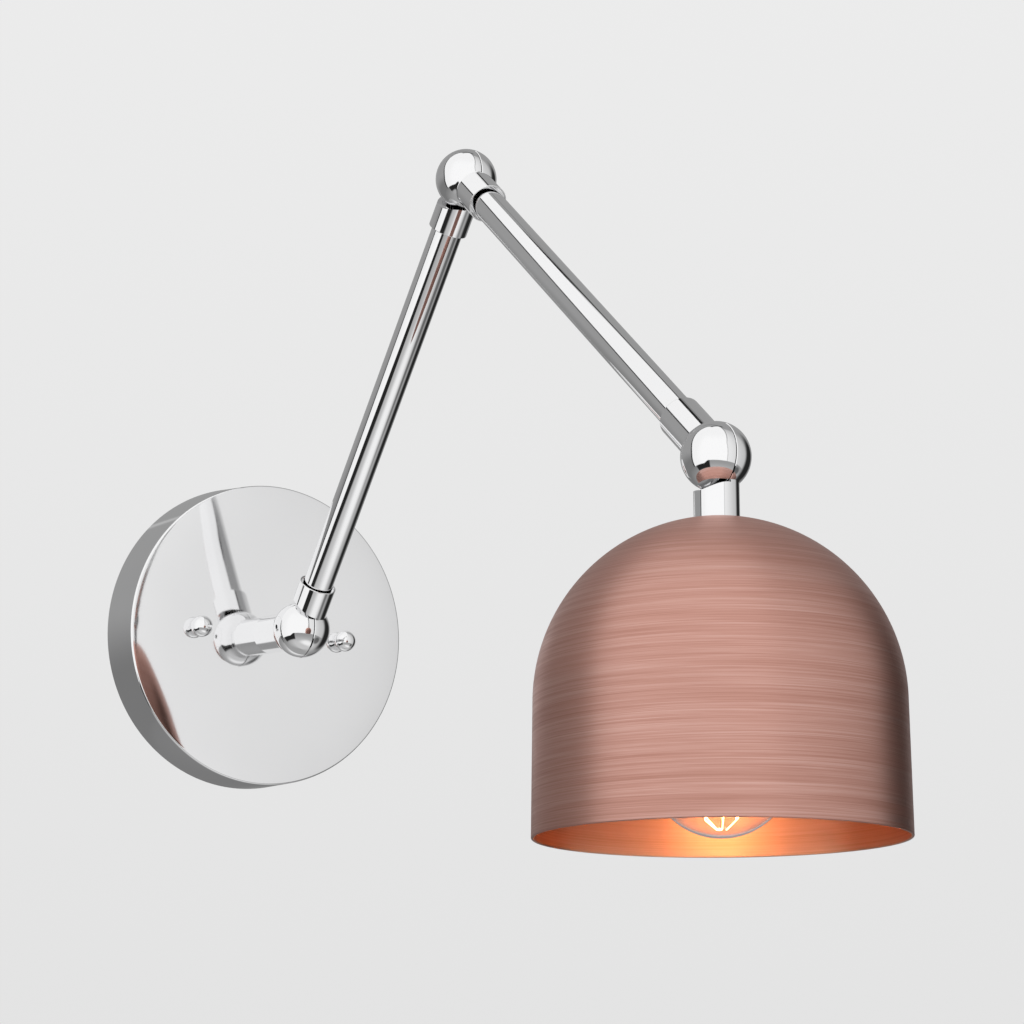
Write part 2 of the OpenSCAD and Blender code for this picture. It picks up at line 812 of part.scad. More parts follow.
// Spring tongue that meets the bulb's contact, riveted through the holder's floor
module holder_contact() {
    leg_x = rivet_r + 0.2;
    color("goldenrod") below_seat(shell_top) {
        translate([0, 0, -holder_floor]) cylinder(r = rivet_r - hair, h = holder_floor + 0.1);
        cylinder(r = rivet_r + 1.5, h = tongue_t);
        translate([leg_x, -tongue_w / 2, 0]) cube([tongue_t, tongue_w, tongue_h]);
        translate([-tongue_w / 2, -tongue_w / 2, tongue_h - tongue_t])
            cube([tongue_w / 2 + leg_x + tongue_t, tongue_w, tongue_t]);
    }
}

module terminal_screws() {
    color("goldenrod") below_seat(holder_top) for (s = [-1, 1]) translate([s * terminal_x, 0, 0]) {
        translate([0, 0, -terminal_head_h]) cylinder(r = terminal_head_r, h = terminal_head_h);
        translate([0, 0, -0.1]) cylinder(r = terminal_r, h = terminal_l);
    }
}

// Two wires that come out of the nipple and turn outwards to the terminal screws' heads
module shade_wires() {
    bend = 3.4;
    level = holder_top - terminal_head_h / 2;
    before = level - bend + nipple_hold - 2;
    after = terminal_x - terminal_head_r - wire_side - bend - 0.1;
    below_seat(level - bend) for (s = [-1, 1]) color(s < 0 ? "black" : "white")
        translate([s * wire_side, 0, 0]) rotate([180, 0, s < 0 ? 180 : 0])
            bent_wire(wire_r, bend, before, after);
}

// Bulb group
module bulb_contact() {
    color("silver") below_seat(contact_depth)
        cylinder(r1 = bulb_contact_r - 1, r2 = bulb_contact_r, h = bulb_contact_h);
}

module bulb_base_insulator() {
    color("darkslategray") below_seat(contact_depth + bulb_contact_h)
        cylinder(r1 = bulb_contact_r, r2 = base_r - 1.2, h = bulb_tip_h - bulb_contact_h);
}

module bulb_base() {
    first = 2.6;
    ridges = floor((base_l - first - thread_r) / thread_pitch) + 1;
    color("silver") below_seat(base_top) difference() {
        union() {
            cylinder(r = base_r - 0.5, h = base_l);
            for (i = [0 : ridges - 1]) translate([0, 0, first + i * thread_pitch])
                rotate_extrude() translate([base_r - thread_r, 0]) circle(r = thread_r, $fn = small_fn);
        }
        translate([0, 0, 0.4]) cylinder(r = bulb_neck_r + hair, h = base_l);
        translate([0, 0, -cut]) cylinder(r = 9, h = 3);
    }
}

module globe_form(thickness) {
    radius = globe_r - thickness;
    neck = bulb_neck_r - thickness;
    blend = bulb_blend_r + thickness;
    meet = radius / (globe_r + bulb_blend_r);
    meet_r = (bulb_neck_r + bulb_blend_r) * meet;
    meet_z = globe_depth - (globe_depth - blend_depth) * meet;
    past = thickness > 0 ? cut : 0;
    translate([0, 0, globe_depth]) sphere(r = radius);
    rotate_extrude() difference() {
        polygon([[0, neck_top - past], [neck, neck_top - past], [neck, blend_depth], [meet_r, meet_z],
            [0, globe_depth - radius / 2]]);
        translate([neck + blend, blend_depth]) circle(r = blend);
    }
}

module bulb_globe() {
    color("white", 0.3) below_seat(0) difference() {
        globe_form(0);
        globe_form(glass_t);
    }
}

stem_top = neck_top + 1;
cage_top = globe_depth - 11;
cage_bottom = globe_depth + globe_r - 3;
cage_corner = cage_bottom - 3.4;
cage_top_r = 5;
cage_corner_r = 6;
cage_bottom_r = 1.9;

// Glass mount: a flare that fills the neck, a tube and a rod down the middle
module bulb_stem() {
    color("white", 0.5) below_seat(0) {
        translate([0, 0, stem_top]) cylinder(r = bulb_neck_r - glass_t - hair, h = 1);
        translate([0, 0, stem_top]) cylinder(r1 = 5, r2 = 2.6, h = cage_top - stem_top - 3);
        translate([0, 0, cage_top - 3.5]) cylinder(r = rod_r, h = cage_bottom - cage_top + 3);
    }
}

module bar_between(a, b, radius) {
    v = b - a;
    flat = norm([v[0], v[1]]);
    translate(a) rotate([0, atan2(flat, v[2]), atan2(v[1], v[0])]) cylinder(r = radius, h = norm(v), $fn = 16);
}

function on_cage(radius, angle, depth) = [radius * cos(angle), radius * sin(angle), depth];

// Short bars from the rod to the filament's turns at the cage's top and bottom
module filament_supports() {
    low = cage_bottom - filament_r - support_r - hair;
    color("silver") below_seat(0) for (i = [0 : filament_strands - 1]) {
        angle = i * 360 / filament_strands;
        bar_between(on_cage(rod_r + support_r / 2, angle, cage_top - 1.5),
            on_cage(cage_top_r - filament_r - support_r, angle, cage_top), support_r);
        bar_between(on_cage(rod_r + hair, angle, low),
            on_cage(cage_bottom_r - filament_r - 0.1, angle, low), support_r);
    }
}

module filament() {
    step = 360 / filament_strands;
    color("gold") below_seat(0) for (i = [0 : filament_strands - 1]) {
        angle = i * step;
        top = on_cage(cage_top_r, angle, cage_top);
        corner = on_cage(cage_corner_r, angle, cage_corner);
        bottom = on_cage(cage_bottom_r, angle, cage_bottom);
        bar_between(top, corner, filament_r);
        bar_between(corner, bottom, filament_r);
        translate(corner) sphere(r = filament_r, $fn = 16);
        if (i % 2 == 0)
            bar_between(bottom, on_cage(cage_bottom_r, angle + step, cage_bottom), filament_r);
        else
            bar_between(top, on_cage(cage_top_r, angle + step, cage_top), filament_r);
    }
}

canopy();
wall_strap();
canopy_studs();
stud_lock_nuts();
ball_cap_nuts();
earth_screw();
stem_nipple();
stem_lock_washer();
stem_lock_nut();
stem_ball_half();
shoulder_cap();
shoulder_spring_washer();
shoulder_friction_washer();
canopy_wires();
wire_connectors();
lower_arm_ball_half();
shoulder_pivot_screw();
shoulder_stop_pin();
lower_arm_tube();
lower_elbow_half();
elbow_cap();
elbow_spring_washer();
elbow_friction_washer();
lower_arm_wires();
upper_elbow_half();
elbow_pivot_screw();
elbow_stop_pin();
upper_arm_tube();
upper_arm_end_half();
tilt_pivot_screw();
tilt_stop_pin();
upper_arm_wires();
shade_neck_half();
tilt_cap();
tilt_spring_washer();
tilt_friction_washer();
shade();
shade_nipple();
shade_lock_washer();
holder_cap();
holder_body();
holder_shell();
holder_contact();
terminal_screws();
shade_wires();
bulb_base();
bulb_base_insulator();
bulb_contact();
bulb_globe();
bulb_stem();
filament_supports();
filament();
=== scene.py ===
"""Looks of a two-arm wall sconce in chrome, with a brushed copper shade and a globe bulb."""
import json
from math import asin, atan2, ceil, cos, hypot, pi, radians, sin, sqrt, tan

import bmesh
import bpy
from mathutils import Matrix, Vector


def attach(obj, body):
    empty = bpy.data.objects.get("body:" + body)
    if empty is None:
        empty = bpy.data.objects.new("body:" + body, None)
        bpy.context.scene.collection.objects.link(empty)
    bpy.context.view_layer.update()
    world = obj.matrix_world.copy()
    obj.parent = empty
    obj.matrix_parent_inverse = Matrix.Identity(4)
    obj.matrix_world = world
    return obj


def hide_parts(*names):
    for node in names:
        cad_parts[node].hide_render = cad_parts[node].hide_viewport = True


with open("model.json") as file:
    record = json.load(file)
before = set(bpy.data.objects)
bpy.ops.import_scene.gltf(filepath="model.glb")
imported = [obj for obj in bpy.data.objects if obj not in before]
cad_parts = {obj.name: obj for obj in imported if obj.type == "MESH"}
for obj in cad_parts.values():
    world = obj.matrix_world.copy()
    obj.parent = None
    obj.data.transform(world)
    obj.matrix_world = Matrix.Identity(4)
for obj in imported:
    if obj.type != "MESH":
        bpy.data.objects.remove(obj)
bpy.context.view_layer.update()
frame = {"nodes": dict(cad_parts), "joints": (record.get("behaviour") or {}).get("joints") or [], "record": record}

# Sizes in millimetres, as the CAD pieces have them
MM = 0.001
BALL_R = 12.25
SPLIT = 0.15
TURN_GAP = 0.75
TUBE_R, TUBE_BORE_R = 6.35, 5.15
COLLAR_R, LIP = 7.9, 0.55
SHORT_COLLAR, LONG_COLLAR = 22.5, 28.0
TUBE_END, MOUTH_DEPTH = 15.5, 3.5
WIRE_WAY_R, WIRE_WAY_START = 4.0, 7.0
STEM_R, STEM_REACH = 8.25, 29.8
SHADE_NECK_R, SHADE_DROP = 7.9, 23.3
NIPPLE_R, NIPPLE_BORE_R, NIPPLE_SOCKET = 4.8, 3.2, 9.5
CANOPY_RIM_R, CANOPY_FACE_R, CANOPY_DEPTH, CANOPY_EDGE, CANOPY_WALL = 66.7, 65.56, 23.2, 2.8, 1.2
CANOPY_DOME, CANOPY_FALL = 0.5, 1.4
STUD_X, STUD_R = 35.0, 2.0
STRAP_W, STRAP_T, BOX_SPACING, SLOT_L, SLOT_W, STRAP_END = 25.0, 2.0, 88.9, 10.0, 4.6, 4.0
STRAP_HOLE_R, EARTH_X = 7.0, 20.5
DOME_R, SEAT_R, SHADE_H, SHADE_FLARE, SHADE_WALL = 63.0, 12.7, 107.5, 0.6, 1.0
DOME_DEPTH = sqrt(DOME_R ** 2 - SEAT_R ** 2)
SHADE_TILT = radians(4.5)
CAP_TOP, CAP_R, CAP_H, CAP_EDGE, CAP_WALL, CAP_HUB = 1.8, 19.35, 16.0, 7.0, 0.8, 5.0
HOLDER_TOP, HOLDER_R, HOLDER_L, HOLDER_FLOOR, SHELL_R, SHELL_T = 12.6, 18.4, 35.0, 6.0, 13.9, 0.6
BASE_TOP, BASE_R, BASE_L = 29.4, 13.0, 20.0
GLOBE_R, GLOBE_DEPTH, GLASS, NECK_R, NECK_TOP, BLEND_R = 25.0, 82.4, 0.6, 12.3, 44.4, 10.0
CAGE_TOP, CAGE_CORNER, CAGE_BOTTOM = 71.4, 101.0, 104.4
CAGE_TOP_R, CAGE_CORNER_R, CAGE_BOTTOM_R = 5.0, 6.0, 1.9
STRANDS, ROD_R = 6, 0.9
LAMP_PITCH, WASHER_T, TERMINAL_X, RIVET_R = 3.4, 0.8, 10.5, 3.0
HAIR = 0.02


def joint_place(name):
    return Vector(next(j["pos_m"] for j in frame["joints"] if j["name"] == name))


SHOULDER, ELBOW, TILT = (joint_place(n) for n in ("shoulder", "elbow", "shade_tilt"))


def turn_to(direction):
    """Turn about X that brings +Z to a direction in the plane of the arms."""
    return atan2(-direction.y, direction.z)


def place(centre, turn):
    """Frame at a centre with its own +Z turned about X."""
    return Matrix.Translation(centre) @ Matrix.Rotation(turn, 4, "X")


def move(x=0.0, y=0.0, z=0.0):
    """Step in millimetres."""
    return Matrix.Translation((x * MM, y * MM, z * MM))


def up(height):
    return move(z=height)


LOWER_TURN = turn_to(ELBOW - SHOULDER)
UPPER_TURN = turn_to(TILT - ELBOW)
SHADE_TURN = pi - SHADE_TILT
OUT_OF_WALL = place((0, 0, 0), pi / 2)
BELOW_SEAT = place(TILT, SHADE_TURN) @ up(SHADE_DROP)
ALONG_X = Matrix.Rotation(pi / 2, 4, "Y")


def camera_of_photo():
    """Camera where the photo's perspective puts it, for a square picture."""
    yaw, pitch, roll = radians(-31.41), radians(8.72), radians(2.40)
    look = Vector((-sin(yaw) * cos(pitch), cos(yaw) * cos(pitch), sin(pitch)))
    level = look.cross(Vector((0, 0, 1))).normalized()
    upright = level.cross(look)
    right = level * cos(roll) + upright * sin(roll)
    top = upright * cos(roll) - level * sin(roll)
    cam = bpy.data.objects.new("camera", bpy.data.cameras.new("camera"))
    cam.matrix_world = Matrix.Translation((-0.56726, -1.1508, -0.13436)) @ Matrix(
        (right, top, -look)).transposed().to_4x4()
    cam.data.sensor_width = 36
    cam.data.lens = 101.62
    cam.data.clip_start = 0.05
    bpy.context.scene.collection.objects.link(cam)
    bpy.context.scene.camera = cam


# Materials

class Graph:
    """Short ways to add nodes to a tree."""

    def __init__(self, tree):
        self.tree = tree

    def node(self, kind, **settings):
        made = self.tree.nodes.new(kind)
        for key, value in settings.items():
            setattr(made, key, value)
        return made

    def link(self, a, b):
        self.tree.links.new(a, b)

    def feed(self, sockets, values):
        """Gives each socket its number or its incoming link."""
        for socket, value in zip(sockets, values):
            if isinstance(value, (int, float)):
                socket.default_value = value
            else:
                self.link(value, socket)

    def math(self, operation, a, b=0.0):
        made = self.node("ShaderNodeMath", operation=operation)
        self.feed(made.inputs, (a, b))
        return made.outputs[0]

    def times(self, a, b):
        return self.math("MULTIPLY", a, b)

    def plus(self, a, b):
        return self.math("ADD", a, b)

    def minus(self, a, b):
        return self.math("SUBTRACT", a, b)

    def step(self, value, start, end):
        """0 below start, 1 above end, smooth between."""
        made = self.node("ShaderNodeMapRange", interpolation_type="SMOOTHSTEP")
        self.feed([made.inputs[n] for n in ("Value", "From Min", "From Max")], (value, start, end))
        return made.outputs["Result"]

    def blend(self, factor, a, b):
        """a where factor is 0, b where it is 1."""
        made = self.node("ShaderNodeMix", data_type="FLOAT")
        self.feed((made.inputs[0], made.inputs[2], made.inputs[3]), (factor, a, b))
        return made.outputs[0]


class Finish(Graph):
    """One material: fixed numbers on its shader, and nodes that vary its colour, roughness and height."""

    def __init__(self, name, color, metallic=0.0, roughness=0.4, **fixed):
        self.material = bpy.data.materials.new(name)
        self.material.use_nodes = True
        super().__init__(self.material.node_tree)
        self.shader = self.tree.nodes["Principled BSDF"]
        self.output = self.tree.nodes["Material Output"]
        self.shader.inputs["Base Color"].default_value = (*color, 1)
        self.shader.inputs["Metallic"].default_value = metallic
        self.shader.inputs["Roughness"].default_value = roughness
        for socket, value in fixed.items():
            self.shader.inputs[socket.replace("_", " ")].default_value = value

    def coordinates(self, stretch=(1, 1, 1), turn=(0, 0, 0)):
        """Object coordinates, turned and then stretched."""
        source = self.node("ShaderNodeTexCoord").outputs["Object"]
        mapping = self.node("ShaderNodeMapping", vector_type="POINT")
        mapping.inputs["Rotation"].default_value = turn
        mapping.inputs["Scale"].default_value = stretch
        self.link(source, mapping.inputs["Vector"])
        return mapping.outputs["Vector"]

    def noise(self, vector, scale, detail=3.0, rough=0.5):
        noise = self.node("ShaderNodeTexNoise")
        noise.inputs["Scale"].default_value = scale
        noise.inputs["Detail"].default_value = detail
        noise.inputs["Roughness"].default_value = rough
        self.link(vector, noise.inputs["Vector"])
        return noise.outputs["Fac"]

    def ramp(self, factor, stops):
        """Colour ramp; stops are (place, colour)."""
        ramp = self.node("ShaderNodeValToRGB")
        points = ramp.color_ramp.elements
        for i, (at, color) in enumerate(stops):
            point = points[i] if i < 2 else points.new(at)
            point.position = at
            point.color = (*color, 1)
        self.link(factor, ramp.inputs["Fac"])
        return ramp.outputs["Color"]

    def range(self, value, low, high, start=0.3, end=0.7):
        limits = self.node("ShaderNodeMapRange")
        for socket, number in (("From Min", start), ("From Max", end), ("To Min", low), ("To Max", high)):
            limits.inputs[socket].default_value = number
        self.link(value, limits.inputs["Value"])
        return limits.outputs["Result"]

    def color(self, output):
        self.link(output, self.shader.inputs["Base Color"])

    def roughness(self, output):
        self.link(output, self.shader.inputs["Roughness"])

    def bump(self, height, distance, strength=1.0):
        bump = self.node("ShaderNodeBump")
        bump.inputs["Distance"].default_value = distance
        bump.inputs["Strength"].default_value = strength
        self.link(height, bump.inputs["Height"])
        self.link(bump.outputs["Normal"], self.shader.inputs["Normal"])


def chrome(name, smooth, hazy, wipe=(40, 40, 14)):
    """Bright plate: a mirror with faint wiping marks, between two roughnesses."""
    f = Finish(name, (0.88, 0.88, 0.885), metallic=1.0, roughness=smooth)
    smear = f.noise(f.coordinates(stretch=wipe), 1.0, detail=4)
    f.roughness(f.range(smear, smooth, hazy))
    tone = f.noise(f.coordinates(), 18.0)
    f.color(f.ramp(tone, ((0.3, (0.865, 0.865, 0.87)), (0.7, (0.895, 0.895, 0.90)))))
    return f.material


def mottled(name, color, roughness, patches, stops, limits, grain=None, relief=0.0, metallic=1.0, **fixed):
    """Tones in patches of (scale, detail); limits of roughness follow the patches, or a stretched grain."""
    f = Finish(name, color, metallic=metallic, roughness=roughness, **fixed)
    marks = f.noise(f.coordinates(), patches[0], detail=patches[1])
    f.color(f.ramp(marks, stops))
    if grain:
        marks = f.noise(f.coordinates(stretch=grain), 1.0, detail=2)
        f.bump(marks, relief)
    f.roughness(f.range(marks, *limits))
    return f.material


def brushed_copper(name, tones, roughness, anisotropic, **fixed):
    """Antique copper, brushed in rings round the shade's axis; tones are its dark, middle and light."""
    f = Finish(name, tones[1], metallic=1.0, roughness=roughness, Anisotropic=anisotropic,
               Anisotropic_Rotation=0.25, **fixed)
    uv = f.node("ShaderNodeUVMap", uv_map="round").outputs["UV"]
    parts = f.node("ShaderNodeSeparateXYZ")
    f.link(uv, parts.inputs[0])
    angle = f.times(parts.outputs[0], 2 * pi)
    east, north = f.math("COSINE", angle), f.math("SINE", angle)

    def rings(around, along, detail, rough=0.6):
        """Noise on rings: around sets how short the strokes are, along how fine the rings are, per metre."""
        spot = f.node("ShaderNodeCombineXYZ")
        f.feed(spot.inputs, (f.times(east, around), f.times(north, around),
                             f.times(parts.outputs[1], along)))
        return f.noise(spot.outputs[0], 1.0, detail=detail, rough=rough)

    fine = rings(1.6, 4600.0, 3.0, 0.7)
    strokes = rings(0.7, 1900.0, 3.0)
    bands = rings(0.4, 240.0, 2.0)
    grain = f.plus(f.times(fine, 0.42), f.times(strokes, 0.34))
    grain = f.plus(grain, f.times(bands, 0.24))
    f.color(f.ramp(grain, ((0.32, tones[0]), (0.50, tones[1]), (0.68, tones[2]))))
    f.roughness(f.range(grain, roughness + 0.05, roughness - 0.04, 0.38, 0.62))
    f.bump(grain, 0.00004, 0.5)
    tangent = f.node("ShaderNodeTangent", direction_type="UV_MAP", uv_map="round")
    f.link(tangent.outputs[0], f.shader.inputs["Tangent"])
    return f.material


def plastic(name, dark, light, roughness, pitch=900.0, depth=0.00003):
    """Moulded plastic or insulation: two close tones and a fine pebble."""
    f = Finish(name, light, roughness=roughness)
    tone = f.noise(f.coordinates(), 60.0, detail=3)
    f.color(f.ramp(tone, ((0.35, dark), (0.65, light))))
    pebble = f.noise(f.coordinates(), pitch, detail=2)
    f.roughness(f.range(pebble, roughness - 0.06, roughness + 0.08))
    f.bump(pebble, depth)
    return f.material


def wire_colours():
    """Insulation: black on the left, white on the right, and green for the earth wire by the strap."""
    f = Finish("wire_insulation", (0.1, 0.1, 0.1), roughness=0.42)
    parts = f.node("ShaderNodeSeparateXYZ")
    f.link(f.node("ShaderNodeTexCoord").outputs["Object"], parts.inputs[0])
    x, y = parts.outputs[0], parts.outputs[1]
    right = f.math("GREATER_THAN", x, 0.0)
    by_strap = f.math("GREATER_THAN", y, -0.0058)
    in_middle = f.math("LESS_THAN", f.math("ABSOLUTE", x, 0), 0.00085)
    earth = f.math("MAXIMUM", by_strap, f.times(in_middle, f.math("GREATER_THAN", y, -0.03)))
    grime = f.noise(f.coordinates(), 240.0)
    black = f.ramp(grime, ((0.3, (0.012, 0.012, 0.013)), (0.7, (0.03, 0.03, 0.032))))
    white = f.ramp(grime, ((0.3, (0.68, 0.67, 0.63)), (0.7, (0.78, 0.77, 0.74))))
    green = f.ramp(grime, ((0.3, (0.03, 0.20, 0.06)), (0.7, (0.05, 0.28, 0.09))))
    mix = None
    for factor, a, b in ((right, black, white), (earth, None, green)):
        node = f.node("ShaderNodeMix", data_type="RGBA")
        f.link(factor, node.inputs["Factor"])
        f.link(a or mix, node.inputs[6])
        f.link(b, node.inputs[7])
        mix = node.outputs[2]
    f.color(mix)
    f.roughness(f.range(grime, 0.36, 0.5))
    return f.material


def clear_glass():
    """Blown glass that lets the filament's light out: shadows pass straight through it."""
    f = Finish("clear_glass", (0.97, 0.95, 0.97), roughness=0.0, Transmission_Weight=1.0, IOR=1.46)
    ripple = f.noise(f.coordinates(), 45.0, detail=1)
    f.bump(ripple, 0.00008, 0.5)
    film = f.noise(f.coordinates(), 160.0, detail=3)
    f.roughness(f.range(film, 0.0, 0.02))
    rays = f.node("ShaderNodeLightPath")
    through = f.node("ShaderNodeBsdfTransparent")
    through.inputs["Color"].default_value = (0.95, 0.94, 0.95, 1)
    mix = f.node("ShaderNodeMixShader")
    f.link(rays.outputs["Is Shadow Ray"], mix.inputs[0])
    f.link(f.shader.outputs[0], mix.inputs[1])
    f.link(through.outputs[0], mix.inputs[2])
    f.link(mix.outputs[0], f.output.inputs["Surface"])
    return f.material


def hot_filament():
    f = Finish("hot_filament", (0.9, 0.5, 0.2), roughness=0.5)
    f.shader.inputs["Emission Strength"].default_value = 85.0
    heat = f.noise(f.coordinates(), 300.0, detail=1)
    glow = f.ramp(heat, ((0.3, (1.0, 0.48, 0.17)), (0.7, (1.0, 0.56, 0.24))))
    f.link(glow, f.shader.inputs["Emission Color"])
    return f.material


FINISH = {
    "polished_chrome": chrome("polished_chrome", 0.028, 0.07),
    "brushed_copper": brushed_copper(
        "brushed_copper", ((0.48, 0.225, 0.17), (0.615, 0.33, 0.27), (0.75, 0.475, 0.415)), 0.44, 0.5,
        Coat_Weight=0.15, Coat_Roughness=0.3),
    # Bright zinc on steel, with a faint yellow and blue cast
    "zinc_steel": mottled(
        "zinc_plate", (0.62, 0.63, 0.64), 0.34, (130.0, 3),
        ((0.3, (0.60, 0.59, 0.54)), (0.5, (0.63, 0.64, 0.64)), (0.7, (0.58, 0.62, 0.66))), (0.26, 0.44),
        (300, 2400, 2400), 0.00002),
    "fibre": plastic("hard_fibre", (0.10, 0.05, 0.035), (0.19, 0.10, 0.07), 0.72, 1400.0, 0.00005),
    "green_zinc": mottled("green_zinc", (0.10, 0.38, 0.16), 0.35, (260.0, 3),
                          ((0.3, (0.07, 0.30, 0.12)), (0.7, (0.16, 0.46, 0.20))), (0.28, 0.46)),
    "wire_insulation": wire_colours(),
    "connector_plastic": plastic("connector_plastic", (0.66, 0.24, 0.035), (0.80, 0.33, 0.06), 0.42),
    # Satin brass with darker stains
    "holder_brass": mottled("satin_brass", (0.72, 0.53, 0.26), 0.3, (75.0, 5),
                            ((0.3, (0.58, 0.39, 0.17)), (0.6, (0.74, 0.55, 0.27))), (0.24, 0.40),
                            (1800, 1800, 200), 0.00002),
    "phenolic": plastic("phenolic", (0.016, 0.014, 0.013), (0.04, 0.036, 0.033), 0.34, 700.0, 0.00002),
    # Rolled sheet with nickel plate
    "bulb_base_metal": mottled("bulb_base_metal", (0.72, 0.71, 0.68), 0.28, (110.0, 4),
                               ((0.3, (0.62, 0.60, 0.55)), (0.65, (0.75, 0.74, 0.71))), (0.40, 0.22)),
    "black_glass": mottled("black_glass", (0.02, 0.02, 0.024), 0.12, (220.0, 3),
                           ((0.3, (0.012, 0.012, 0.016)), (0.7, (0.035, 0.033, 0.045))), (0.08, 0.22),
                           metallic=0.0, Coat_Weight=0.5, Coat_Roughness=0.05),
    "clear_glass": clear_glass(), "filament_wire": hot_filament(),
}
# Unplated inside of the balls and necks, with turning marks
TURNED = mottled("turned_metal", (0.55, 0.54, 0.50), 0.42, (90.0, 3),
                 ((0.3, (0.50, 0.49, 0.45)), (0.7, (0.60, 0.58, 0.53))), (0.32, 0.52),
                 (2600, 160, 160), 0.00003)
SPUN = chrome("spun_chrome", 0.045, 0.065, wipe=(30, 30, 30))
# Inside of the shade: a smoother brushing than the outside, in brighter, more orange tones that paint in the warm
# glow of the lit bulb on top of the filament's own light.
GLOW_TINTED_INSIDE_COPPER = brushed_copper("inside_copper", ((0.70, 0.34, 0.20), (0.83, 0.45, 0.29), (0.91, 0.55, 0.39)),
                               0.38, 0.55)


def dress_cad_nodes():
    """Every CAD node takes the finish of its slot; those that are replaced later keep it too."""
    for row in frame["record"]["subparts"]:
        for slot in frame["nodes"][row["node"]].material_slots:
            slot.material = FINISH[row["material_slot"]]


# Outlines: lists of (radius, height) in millimetres

def arc(r, z, radius, start, end, step=4.0):
    """Points on an arc round (r, z), angles in degrees from the outward direction towards +Z."""
    count = max(2, ceil(abs(end - start) / step))
    turns = [radians(start + (end - start) * i / count) for i in range(count + 1)]
    return [(r + radius * cos(a), z + radius * sin(a)) for a in turns]


def soften(corners, closed=False, step=12.0):
    """Outline through corners (radius, height) or (radius, height, rounding)."""
    points = []
    count = len(corners)
    for i, corner in enumerate(corners):
        rounding = corner[2] if len(corner) > 2 else 0
        here = Vector(corner[:2])
        if not rounding or (not closed and i in (0, count - 1)):
            points.append(tuple(here))
            continue
        back = Vector(corners[i - 1][:2]) - here
        ahead = Vector(corners[(i + 1) % count][:2]) - here
        opening = back.angle(ahead)
        reach = min(rounding / tan(opening / 2), 0.49 * back.length, 0.49 * ahead.length)
        radius = reach * tan(opening / 2)
        centre = here + (back.normalized() + ahead.normalized()).normalized() * (radius / sin(opening / 2))
        first, last = here + back.normalized() * reach - centre, here + ahead.normalized() * reach - centre
        sweep = first.angle_signed(last)
        parts = max(2, ceil(abs(sweep) / radians(step)))
        for k in range(parts + 1):
            turn = -sweep * k / parts
            points.append((centre.x + first.x * cos(turn) - first.y * sin(turn),
                           centre.y + first.x * sin(turn) + first.y * cos(turn)))
    return points


def ball_with_root(neck_r, root):
    """Outline of a ball from its far pole to where a neck along +Z leaves it over a rounded root."""
    root_z = sqrt((BALL_R + root) ** 2 - (neck_r + root) ** 2)
    meet = atan2(root_z, neck_r + root) * 180 / pi
    return arc(0, 0, BALL_R, -90, meet, 3.0) + arc(neck_r + root, root_z, root, meet + 180, 180, 15.0)[1:]


def new_object(name, mesh, finishes):
    made = bpy.data.objects.new(name, mesh)
    bpy.context.scene.collection.objects.link(made)
    for finish in finishes:
        mesh.materials.append(finish)
    return made


def lathe(name, outline, where, finish, segments=128, smooth=33.0):
    """Solid of revolution about its own Z. An outline that ends off the axis closes on itself."""
    bm = bmesh.new()
    uv = bm.loops.layers.uv.new("round")
    closed = outline[0][0] > 1e-6 or outline[-1][0] > 1e-6
    rings, along = [], [0.0]
    for i, (r, z) in enumerate(outline):
        count = segments if r > 1e-6 else 1
        turns = [2 * pi * k / segments for k in range(count)]
        rings.append([bm.verts.new((r * MM * cos(a), r * MM * sin(a), z * MM)) for a in turns])
        if i:
            along.append(along[-1] + hypot(r - outline[i - 1][0], z - outline[i - 1][1]) * MM)
    links = list(zip(range(len(rings) - 1), range(1, len(rings))))
    if closed:
        links.append((len(rings) - 1, 0))
    for a, b in links:
        for k in range(segments):
            n = (k + 1) % segments
            corners = [(rings[ring][place % len(rings[ring])], column, along[ring])
                       for ring, place, column in ((a, k, k), (a, n, k + 1), (b, n, k + 1), (b, k, k))]
            kept = [c for i, c in enumerate(corners) if c[0] not in [d[0] for d in corners[:i]]]
            face = bm.faces.new([c[0] for c in kept])
            for loop, (_, column, distance) in zip(face.loops, kept):
                loop[uv].uv = (column / segments, distance)
    bm.normal_update()
    bmesh.ops.recalc_face_normals(bm, faces=bm.faces)
    return from_bmesh(name, bm, where, finish, smooth)


def from_bmesh(name, bm, where, finish, smooth=33.0):
    """Object made of a finished bmesh, set in its place."""
    mesh = bpy.data.meshes.new(name)
    bm.to_mesh(mesh)
    bm.free()
    mesh.transform(where)
    soft_shading(mesh, smooth)
    return new_object(name, mesh, [finish])


def soft_shading(mesh, angle):
    mesh.polygons.foreach_set("use_smooth", [True] * len(mesh.polygons))
    mesh.set_sharp_from_angle(angle=radians(angle))


def cut_with(piece, *cutters, operation="DIFFERENCE"):
    """Cuts closed shapes out of a piece and deletes them."""
    for cutter in cutters:
        step = piece.modifiers.new("cut", "BOOLEAN")
        step.operation = operation
        step.solver = "EXACT"
        step.object = cutter
    old = piece.data
    piece.data = baked_mesh(piece)
    piece.modifiers.clear()
    bpy.data.meshes.remove(old)
    for cutter in cutters:
        bpy.data.objects.remove(cutter)
    return piece


def baked_mesh(piece):
    """The piece's mesh with its modifiers applied."""
    bpy.context.view_layer.update()
    depsgraph = bpy.context.evaluated_depsgraph_get()
    mesh = bpy.data.meshes.new_from_object(piece.evaluated_get(depsgraph))
    mesh.name = piece.name
    return mesh


